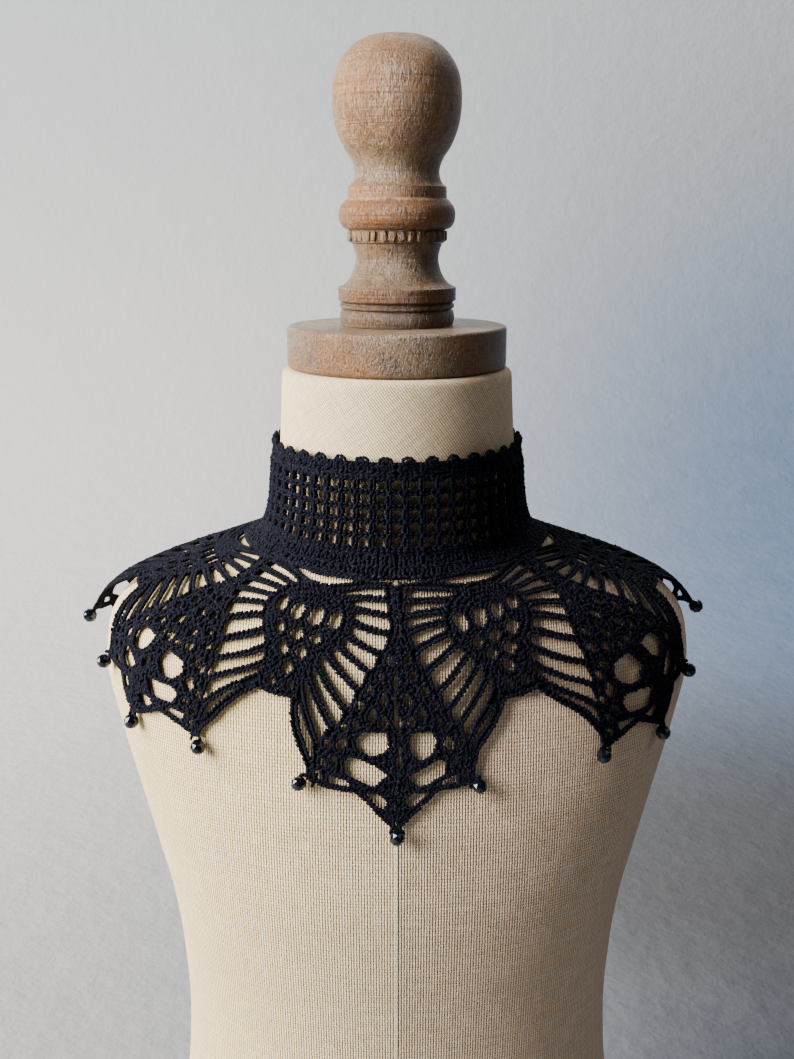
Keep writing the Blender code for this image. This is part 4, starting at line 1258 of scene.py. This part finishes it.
def makeBibRows():
    # The right half's lobes: a row round every gap and edge, and the fill between
    look = bibStitches
    gaps = []
    for leaf in range(chart["sideRepeats"]):
        beside = (leaf, 1), (leaf + 1, -1)
        gaps += [gap for cut in (chainGaps, leafGaps) for at in beside for gap in cut(*at)]
        gaps += midribGaps(leaf + 1) + coneGaps(leaf)
        gaps += [gap for at in beside for gap in pinholes(onLeaf, "pinholes", *at)]
        gaps += [gap for side in (1, -1) for gap in pinholes(onCone, "conePinholes", leaf, side)]
    outline, seamSlits = halfOutline(), midribGaps(0)
    loops = [outline, *gaps, *seamSlits]
    segments = segmentsOf(loops)
    edges = [edgeRow(gap, look["edgeInset"]) for gap in gaps]
    for slit in seamSlits:  # half of each is on the left bib
        row = edgeRow(slit, look["edgeInset"])
        edges.append(row[row[:, 0] > 0])
    rim = edgeRow(outline, -look["edgeInset"])
    rim = np.concatenate([rim[rim[:, 0] > look["seamClear"]], tipRows()])
    leaves = np.concatenate([leafFill(leaf) for leaf in range(chart["sideRepeats"] + 1)])
    cones = np.concatenate([coneFill(leaf) for leaf in range(chart["sideRepeats"])])
    leaves, cones = jittered(leaves, 8, look["leafUneven"]), jittered(cones, 9, look["coneUneven"])
    fill = np.concatenate([leaves, cones])
    # The outline's run down the middle seam isn't an edge of the lace, but its tip is
    start, end = segments
    real = np.maximum(np.abs(start[:, 0]), np.abs(end[:, 0])) > look["seamHalf"]
    real |= np.hypot(*start.T) > look["tipRadius"]
    flat = fill[:, :2].copy()
    flat[:, 0] = np.maximum(flat[:, 0], look["seamHalf"] / 2)
    fill = fill[(fill[:, 0] > -0.01) & onLace(flat, segments)]
    edgeSegments = start[real], end[real]
    fill = fill[clearance(fill[:, :2], edgeSegments) > look["fillClearance"]]
    counts = sum(map(len, edges)), len(rim), len(fill)
    print("bib half: %d edge lobes, %d rim lobes, %d fill lobes" % counts)
    shares = [1.0] * (1 + len(gaps)) + [0.5] * len(seamSlits)
    areas = [share * abs(signedArea(loop)) * mm**2 for share, loop in zip(shares, loops)]
    return np.concatenate([*edges, rim, fill]), loops, areas[0] - sum(areas[1:])


# The collar's chart: millimetres round the neck and down from its top edge
collar = {
    "roundStep": 0.8866,  # millimetres for each degree
    "picots": 36,
    "columns": 52,
    "bandTop": 2.9,
    "netTop": 8.65,  # the middle of the bar over the first row of holes
    "netRow": 5.55,
    "netRows": 5,
    "bottom": 48.6,
    "postWidth": 2.6,
    "barHeight": 2.4,
    "postLane": 0.70,  # from a post's or bar's middle to its strands
    "barLane": 0.60,
    "groundAbove": (0.35, 0.95),
    "groundInset": 0.9,
    "groundEnd": 0.3,
    "groundRows": ((5.0, 7.0), (39.0, 42.0, 45.0)),  # over the net and under it
    "picotRings": ((1.75, (-95, -58, -20, 20, 58, 95), 1.35), (0.7, (-60, 0, 60), 1.7)),
    "topRows": ((3.6, 24), (5.1, 90), (6.6, 20), (8.1, -22), (9.1, 20)),  # depth, slant
    "postTiers": ((0.30, 12), (0.50, -12), (0.70, 12)),
    "knots": ((48, 2.3), (132, 2.1)),
    "ribTiers": ((3.3, 3), (8.7, 2)),
    "ribRows": (0.5, 1.9, 7.4),
    "rowDrop": 0.9,
    # length, width and height of a lobe, and its thickness where that isn't its width
    "shapes": {
        "picot": (2.1, 1.5),
        "cross": (2.3, 1.3, 1.35),
        "row": (2.5, 1.3, 1.5),
        "under": (2.4, 1.25, 1.2),
        "post": (2.5, 1.4, 1.55, 2.9),
        "bar": (2.5, 1.3, 1.50, 2.6),
        "knot": (2.6, 1.3),
        "rib": (2.5, 1.4, 1.55),
        "ribRow": (2.6, 1.3, 1.75),
        "ribUnder": (2.4, 1.25, 1.4),
        "edge": (2.3, 1.25, 1.35),
    },
}


def collarPlace(x, y):
    return x / collar["roundStep"], y * mm


def makeCollarRows():
    # The right half's lobes, from the picots down to the ribs
    look, shapes = collar, collar["shapes"]
    half = 180 * look["roundStep"]
    end = half - cloth["backOpening"]
    column = 2 * half / look["columns"]
    stitch = column / 3
    across = (np.arange(look["columns"] * 3 // 2) + 0.5) * stitch
    rows, bands = [], []
    picotAt = (np.arange(look["picots"] // 2) + 0.5) * 2 * half / look["picots"]
    for reach, angles, above in look["picotRings"]:
        for angle in angles:
            turn = math.radians(angle)
            x, y = picotAt + 1.3 * reach * math.sin(turn), look["bandTop"] - reach * math.cos(turn)
            rows.append(lobes(x, y, angle + 12, *shapes["picot"], above))
    for y, slant in look["topRows"]:
        if slant == 90:
            for shift, lean in ((0.42, 68), (-0.42, 112)):
                bands.append(lobes(across + shift, y, lean, *shapes["cross"]))
        else:
            bands.append(lobes(across, y, slant, *shapes["row"]))
            under = lobes(across + stitch / 2, y + 0.7, slant - 10, *shapes["under"])
            bands.append(under)
    posts = (np.arange(look["columns"] // 2) + 0.5) * column
    for row in range(look["netRows"]):
        top = look["netTop"] + row * look["netRow"]
        for share, lean in look["postTiers"]:
            y = top + share * look["netRow"]
            for side in (-1, 1):
                x = posts + side * look["postLane"]
                rows.append(lobes(x, y + 0.3 * side, 90 + lean * side, *shapes["post"]))
        y = top + look["netRow"]
        for side in (-1, 1):
            rows.append(lobes(across, y + side * look["barLane"], 20 * side, *shapes["bar"]))
        for heading, above in look["knots"]:
            rows.append(lobes(posts, y, heading, *shapes["knot"], above))
    ribs = (np.arange(look["columns"]) + 0.5) * column / 2
    ribTop = look["netTop"] + look["netRows"] * look["netRow"]
    for y, count in look["ribTiers"]:
        for i in range(count):
            for side in (-1, 1):
                x, down = ribs + side * 0.64, ribTop + y + 1.4 * i + 0.35 * side
                bands.append(lobes(x, down, 90 - 20 * side, *shapes["rib"]))
    for y in (*(ribTop + down for down in look["ribRows"]), look["bottom"] - look["rowDrop"]):
        bands.append(lobes(across, y, 24, *shapes["ribRow"]))
        bands.append(lobes(across + stitch / 2, y + 0.5, -18, *shapes["ribUnder"]))
    rows.append(jittered(np.concatenate(bands), 6, 2.0))
    edge = np.arange(look["bandTop"] + 0.6, look["bottom"], 1.5)  # down the back opening
    for shift, lean in ((0.55, 78), (1.6, 102)):
        rows.append(lobes(end - shift, edge, lean, *shapes["edge"]))
    rows = np.concatenate(rows)
    return rows[(rows[:, 0] > 0.02) & (rows[:, 0] < end)]


def vertsOf(extruded):
    return [item for item in extruded["geom"] if isinstance(item, bmesh.types.BMVert)]


def thicken(bm, innerPlace):
    # Gives a ground its inner face: innerPlace says where the copy of each vertex goes
    for vert in vertsOf(bmesh.ops.extrude_face_region(bm, geom=bm.faces[:], use_keep_orig=True)):
        vert.co = innerPlace(vert)
    bmesh.ops.recalc_face_normals(bm, faces=bm.faces)


def makeCollarGround(side, node, name):
    # A thin dark ground for the collar's stitches, cut open between the net's posts and bars
    look = collar
    half, inset = 180 * look["roundStep"], look["groundInset"]
    column = 2 * half / look["columns"]
    post, bar = (look["postWidth"] - inset) / 2, (look["barHeight"] - inset) / 2
    xs = [0.0]
    for i in range(look["columns"] // 2):
        xs += [(i + 0.5) * column - post, (i + 0.5) * column + post]
    xs.append(half - cloth["backOpening"] - look["groundEnd"])
    ys = [look["bandTop"], *look["groundRows"][0]]
    for row in range(look["netRows"]):
        top = look["netTop"] + row * look["netRow"]
        ys += [top + bar, top + look["netRow"] - bar]
    ys += [*look["groundRows"][1], look["bottom"] - look["groundEnd"]]
    bm = bmesh.new()
    columns, rows = len(xs) - 1, len(ys) - 1
    bmesh.ops.create_grid(bm, x_segments=columns, y_segments=rows, size=0.5)
    holes = []
    for face in bm.faces:
        middle = face.calc_center_median()
        i, j = int((middle.x + 0.5) * columns), int((middle.y + 0.5) * rows)
        if i % 2 == 0 and i < columns - 1 and j % 2 and 2 < j < 3 + 2 * look["netRows"]:
            holes.append(face)
    low, high = look["groundAbove"]
    places = np.array([(xs[i], ys[j]) for j, i in gridCells(bm, columns, rows).values()])
    laps, depths = collarPlace(side * places[:, 0], places[:, 1])
    for vert, point in zip(bm.verts, clothPoints(laps, depths, high * mm)):
        vert.co = point
    bmesh.ops.delete(bm, geom=holes, context="FACES")

    def inward(vert):
        away = vert.co - formTree.find_nearest(vert.co)[0]
        return vert.co - away.normalized() * (high - low) * mm

    thicken(bm, inward)
    return addPiece(name, meshOf(bm, name, 40), groundYarn, [node])


ground = {
    "inset": 0.38,
    "pitch": 1.3,
    "span": 5.0,
    "clear": 1.6,
    "widestHole": 30,
    "above": (0.30, 0.95),
}


def makeGroundChart(loops):
    # Points and triangles of the bib's ground on the chart: the lace drawn in from all its edges
    look = ground
    outline = offset(loops[0], -look["inset"], 1, look["pitch"])
    holes = [offset(loop, look["inset"], 1, look["pitch"]) for loop in loops[1:]]
    rims = [outline, *holes]
    edges, start = [], 0
    for count in map(len, rims):
        edges += [(start + i, start + (i + 1) % count) for i in range(count)]
        start += count
    corners = zip(outline.min(axis=0), outline.max(axis=0))
    spans = (np.arange(low, high, look["span"]) for low, high in corners)
    net = np.stack(np.meshgrid(*spans), axis=-1).reshape(-1, 2)
    net = net[clearance(net, segmentsOf(rims)) > look["clear"]]
    points = [Vector(point) for point in np.concatenate([*rims, net])]
    points, _, faces, *_ = delaunay_2d_cdt(points, edges, [], 0, 1e-4)
    points, faces = np.array([tuple(point) for point in points]), np.array(faces)
    corners = points[faces]
    middles = corners.mean(axis=1)
    a, b = (corners[:, 1:] - corners[:, :1]).transpose(1, 0, 2)
    whole = np.abs(a[:, 0] * b[:, 1] - a[:, 1] * b[:, 0]) > 1e-3
    keep = whole & onLace(middles, segmentsOf([outline]))
    for hole in holes:
        near = np.abs(middles - hole.mean(axis=0)).max(axis=1) < look["widestHole"]
        near &= keep
        keep[near] &= ~onLace(middles[near], segmentsOf([hole]))
    return points, faces[keep]


def makeBibGround(side, node, name):
    # A thin dark ground under the bib's stitches
    low, high = ground["above"]
    points, faces = groundChart
    laps, depths = wornPlace(side * points[:, 0], points[:, 1])
    outer, inner = (clothPoints(laps, depths, above * mm) for above in (high, low))
    bm = bmesh.new()
    at = bm.verts.layers.int.new("at")
    verts = [bm.verts.new(point) for point in outer]
    for i, vert in enumerate(verts):
        vert[at] = i
    for face in faces:
        bm.faces.new([verts[i] for i in face])
    loose = [vert for vert in bm.verts if not vert.link_faces]
    bmesh.ops.delete(bm, geom=loose, context="VERTS")
    thicken(bm, lambda vert: inner[vert[at]])
    return addPiece(name, meshOf(bm, name, 50), groundYarn, [node])


collarRows, (bibRows, laceLoops, laceArea) = makeCollarRows(), makeBibRows()
groundChart = makeGroundChart(laceLoops)
print("collar half:", len(collarRows), "lobes")
# Laps that split the bib's stitches into pieces, and each half's grounds with their stitch pieces
bibParts = {"Front": (-1, 66), "Shoulder": (66, 119.3), "Back": (119.3, 181)}  # laps
sheets = {"collar": [], "bib": []}
for side, word in ((-1, "Left"), (1, "Right")):
    rows, lace = (jittered(half if side > 0 else mirrored(half), seed + side)
                  for half, seed in ((collarRows, 31), (bibRows, 51)))
    mesh = stitchMesh(f"collarStitches{word}", rows, collarPlace)
    stitches = addPiece(f"collarStitches{word}", mesh, yarn)
    band = makeCollarGround(side, f"collar_{word.lower()}", f"collarGround{word}")
    sheets["collar"].append((band, [stitches]))
    laps = np.abs(bibPlace(*lace[:, :2].T)[0])
    parts = []
    for part, (low, high) in bibParts.items():
        name = f"bibStitches{part}{word}"
        chosen = lace[(laps > low) & (laps <= high)]
        parts.append(addPiece(name, stitchMesh(name, chosen, wornPlace), yarn))
        print(name, len(chosen) * len(lobeFaces), "triangles")
    sheets["bib"].append((makeBibGround(side, f"bib_{word.lower()}", f"bibGround{word}"), parts))
print("stage: lace made")


# Beads, buttons and loops

trims = {
    "beadRadius": 0.0031,
    "beadHalfLength": 0.0028,
    "beadSeat": 0.0004,
    "buttonDepths": (0.0095, 0.0235, 0.0375),
    "buttonOffset": 6.5,
    "buttonShank": 0.0012,
    "buttonSeat": 0.0007,
    "buttonPlay": 0.0004,
    "buttonRadius": 0.0044,
    "buttonHeight": 0.0022,
    # shares of a button's height and radius, from its underside to its middle
    "buttonProfile": [
        (0.0, 0.80), (0.12, 0.93), (0.35, 1), (0.52, 0.96), (0.58, 0.86), (0.56, 0.78),
        (0.72, 0.66), (0.90, 0.42), (1, 0.16), (1, 0),
    ],
    "loopRadius": 0.0006,
    "loopEnd": 4.5,
    "loopBend": 2.3,  # from the shank's middle to the yarn's
    "loopPitch": 0.95,
    "loopShape": (1.5, 0.95),
    "loopAbove": 0.9,
}


def clothFrame(lap, depth, above, towards):
    # Matrix at a place over the cloth: Z out, X towards the chart direction (lap, depth)
    here = Vector(clothPoints(lap, depth, above))
    ahead = Vector(clothPoints(lap + towards[0], depth + towards[1], above)) - here
    out = Vector(clothNormals(np.float64(lap), np.float64(depth)))
    ahead = (ahead - out * ahead.dot(out)).normalized()
    placed = Matrix((ahead, out.cross(ahead), out)).transposed().to_4x4()
    placed.translation = here
    return placed


def makeBeads():
    look = trims
    radius = look["beadRadius"]
    wall = cloth["wall"] / 2
    out = max(radius - cloth["formGap"] - wall + look["beadSeat"], 0)
    bm = bmesh.new()
    nodes = []

    def setBead(name, lap, r, towards):
        placed = clothFrame(lap, cloth["collarDepth"] + r * mm, wall, towards)
        verts = bmesh.ops.create_uvsphere(bm, u_segments=9, v_segments=6, radius=1.0)["verts"]
        for vert in verts:  # every other ring of facets is turned half a step
            if round(math.degrees(math.asin(max(-1, min(1, vert.co.z)))) / 30) % 2:
                vert.co = Matrix.Rotation(math.pi / 9, 3, "Z") @ vert.co
        bmesh.ops.scale(bm, vec=(radius, radius, look["beadHalfLength"]), verts=verts)
        bmesh.ops.rotate(bm, matrix=Matrix.Rotation(math.pi / 2, 3, "X"), verts=verts)
        bmesh.ops.translate(bm, vec=(radius + look["beadSeat"], 0, out), verts=verts)
        bmesh.ops.transform(bm, matrix=placed, verts=verts)
        nodes.append(name)

    lap = chart["repeatLap"]
    across, r = sideTip()
    ahead = 0.8 * lap / repeatWidth(chart["leafHem"][1][0])
    for leaf in range(-chart["sideRepeats"], chart["sideRepeats"] + 1):
        word = f"{'left' if leaf < 0 else 'right'}_{abs(leaf)}" if leaf else "front"
        setBead(f"bead_{word}_middle", leaf * lap, chart["leafTip"], (0, mm))
        for side, end in ((-1, "left"), (1, "right")):
            place = lap * (leaf + side * across / repeatWidth(r))
            setBead(f"bead_{word}_{end}", place, r, (side * ahead, mm))
    bmesh.ops.triangulate(bm, faces=bm.faces)
    bmesh.ops.recalc_face_normals(bm, faces=bm.faces)
    addPiece("glassBeads", meshOf(bm, "glassBeads"), beadGlass, nodes)


def makeButtons():
    look = trims
    seat, shank, radius = look["buttonSeat"], look["buttonShank"], look["buttonRadius"]
    cap = seat + 2 * look["buttonPlay"] + 2 * look["loopRadius"]
    profile = [(seat, 0), (seat, shank), (cap, shank)]
    height = look["buttonHeight"]
    profile += [(cap + up * height, out * radius) for up, out in look["buttonProfile"]]
    lap = -180 + math.degrees(look["buttonOffset"] * mm / formColumns[0, 1])
    whole = bmesh.new()
    for depth in look["buttonDepths"]:
        bm = turnedPiece(profile, 36)
        placed = clothFrame(lap, depth, cloth["wall"], (1, 0))
        bmesh.ops.transform(bm, matrix=placed, verts=bm.verts)
        mesh = meshOf(bm, "button")
        whole.from_mesh(mesh)
        bpy.data.meshes.remove(mesh)
    mesh = meshOf(whole, "backButtons", 35)
    addPiece("backButtons", mesh, buttonGloss, ["button_1", "button_2", "button_3"])


def makeLoops():
    # Each loop is two runs of small lobes from the other half, joined round the shank
    look = trims
    half = 180 * collar["roundStep"]
    middle = half - look["buttonOffset"] * half / (math.pi * formColumns[0, 1] / mm)
    bend = look["loopBend"]
    steps = np.arange(0, look["buttonOffset"] + look["loopEnd"] - 1, look["loopPitch"])
    turns = np.radians(np.arange(-75, 76, 25))
    shape = (*look["loopShape"], cloth["wall"] / mm + look["buttonSeat"] / mm + look["loopAbove"])
    rows = []
    for y in (depth / mm for depth in look["buttonDepths"]):
        for side in (-1, 1):
            rows.append(lobes(-middle - steps, y + side * bend, 180 + side * 16, *shape))
        x = -middle + bend * np.cos(turns)
        rows.append(lobes(x, y + bend * np.sin(turns), 90 + np.degrees(turns), *shape))
    mesh = stitchMesh("buttonLoops", jittered(np.concatenate(rows), 77), loopPlace)
    nodes = ["button_loop_1", "button_loop_2", "button_loop_3"]
    addPiece("buttonLoops", mesh, yarn, nodes)


def loopPlace(x, y):
    # As collarPlace, for loops that cross the back opening
    lap = x / collar["roundStep"]
    return np.where(lap < -180, lap + 360, lap), y * mm


makeBeads()
makeButtons()
makeLoops()
print("stage: beads and closure made")


# Stage, light and camera

stage = {"wallAt": 1.55, "cove": 0.7, "halfWide": 4.0, "floorFront": -3.0, "wallTop": 3.5}


def makeStage():
    # A floor that curves up into a wall
    look = stage
    cove = look["cove"]
    line = [(look["floorFront"], 0.0)]
    for turn in map(math.radians, range(0, 91, 10)):
        line.append((look["wallAt"] - cove * (1 - math.sin(turn)), cove * (1 - math.cos(turn))))
    line.append((look["wallAt"], look["wallTop"]))
    bm = bmesh.new()
    verts = [bm.verts.new((-look["halfWide"], y, z)) for y, z in line]
    edges = [bm.edges.new(pair) for pair in zip(verts, verts[1:])]
    moved = vertsOf(bmesh.ops.extrude_edge_only(bm, edges=edges))
    bmesh.ops.translate(bm, vec=(2 * look["halfWide"], 0, 0), verts=moved)
    bmesh.ops.recalc_face_normals(bm, faces=bm.faces)
    if bm.faces[:][0].normal.z < 0:
        bmesh.ops.reverse_faces(bm, faces=bm.faces)
    backdrop = bpy.data.objects.new("backdrop", meshOf(bm, "backdrop", 60))
    backdrop.data.materials.append(plaster)
    bpy.context.scene.collection.objects.link(backdrop)


def addLight(name, place, aim, size, power, colour):
    light = bpy.data.lights.new(name, "AREA")
    light.shape, light.size, light.energy, light.color = "DISK", size, power, colour
    lamp = bpy.data.objects.new(name, light)
    lamp.location = place
    lamp.visible_camera = False
    lamp.rotation_euler = (Vector(aim) - Vector(place)).to_track_quat("-Z", "Y").to_euler()
    bpy.context.scene.collection.objects.link(lamp)


# Focus and image height in pixels, and the sensor's height in millimetres
camera = {"place": (0, -0.470, 0.520), "pitch": 75, "focus": 1150, "height": 1059, "sensor": 36}


def makeCamera():
    look = camera
    data = bpy.data.cameras.new("photoCamera")
    data.sensor_fit = "VERTICAL"
    data.sensor_width = data.sensor_height = look["sensor"]
    data.lens = look["focus"] / look["height"] * look["sensor"]
    data.clip_start = 0.01
    eye = bpy.data.objects.new("photoCamera", data)
    eye.location = look["place"]
    eye.rotation_euler = (math.radians(look["pitch"]), 0, 0)
    bpy.context.scene.collection.objects.link(eye)
    bpy.context.scene.camera = eye


makeStage()
addLight("windowLight", (-1.54, -0.42, 1.16), (0, 0, 0.34), 1.6, 208, (1.0, 0.975, 0.935))
addLight("roomFill", (1.15, -0.45, 1.5), (0, 0, 0.40), 1.4, 4.5, (0.92, 0.93, 0.97))
addLight("backFill", (0.4, 1.2, 1.9), (0, 0.1, 0.30), 0.9, 10, (1.0, 0.98, 0.96))
world = bpy.data.worlds.new("room")
world.use_nodes = True
sky = world.node_tree.nodes["Background"].inputs
sky["Color"].default_value, sky["Strength"].default_value = (0.92, 0.93, 0.95, 1), 0.045
bpy.context.scene.world = world
makeCamera()
print("stage: stage, light and camera made")
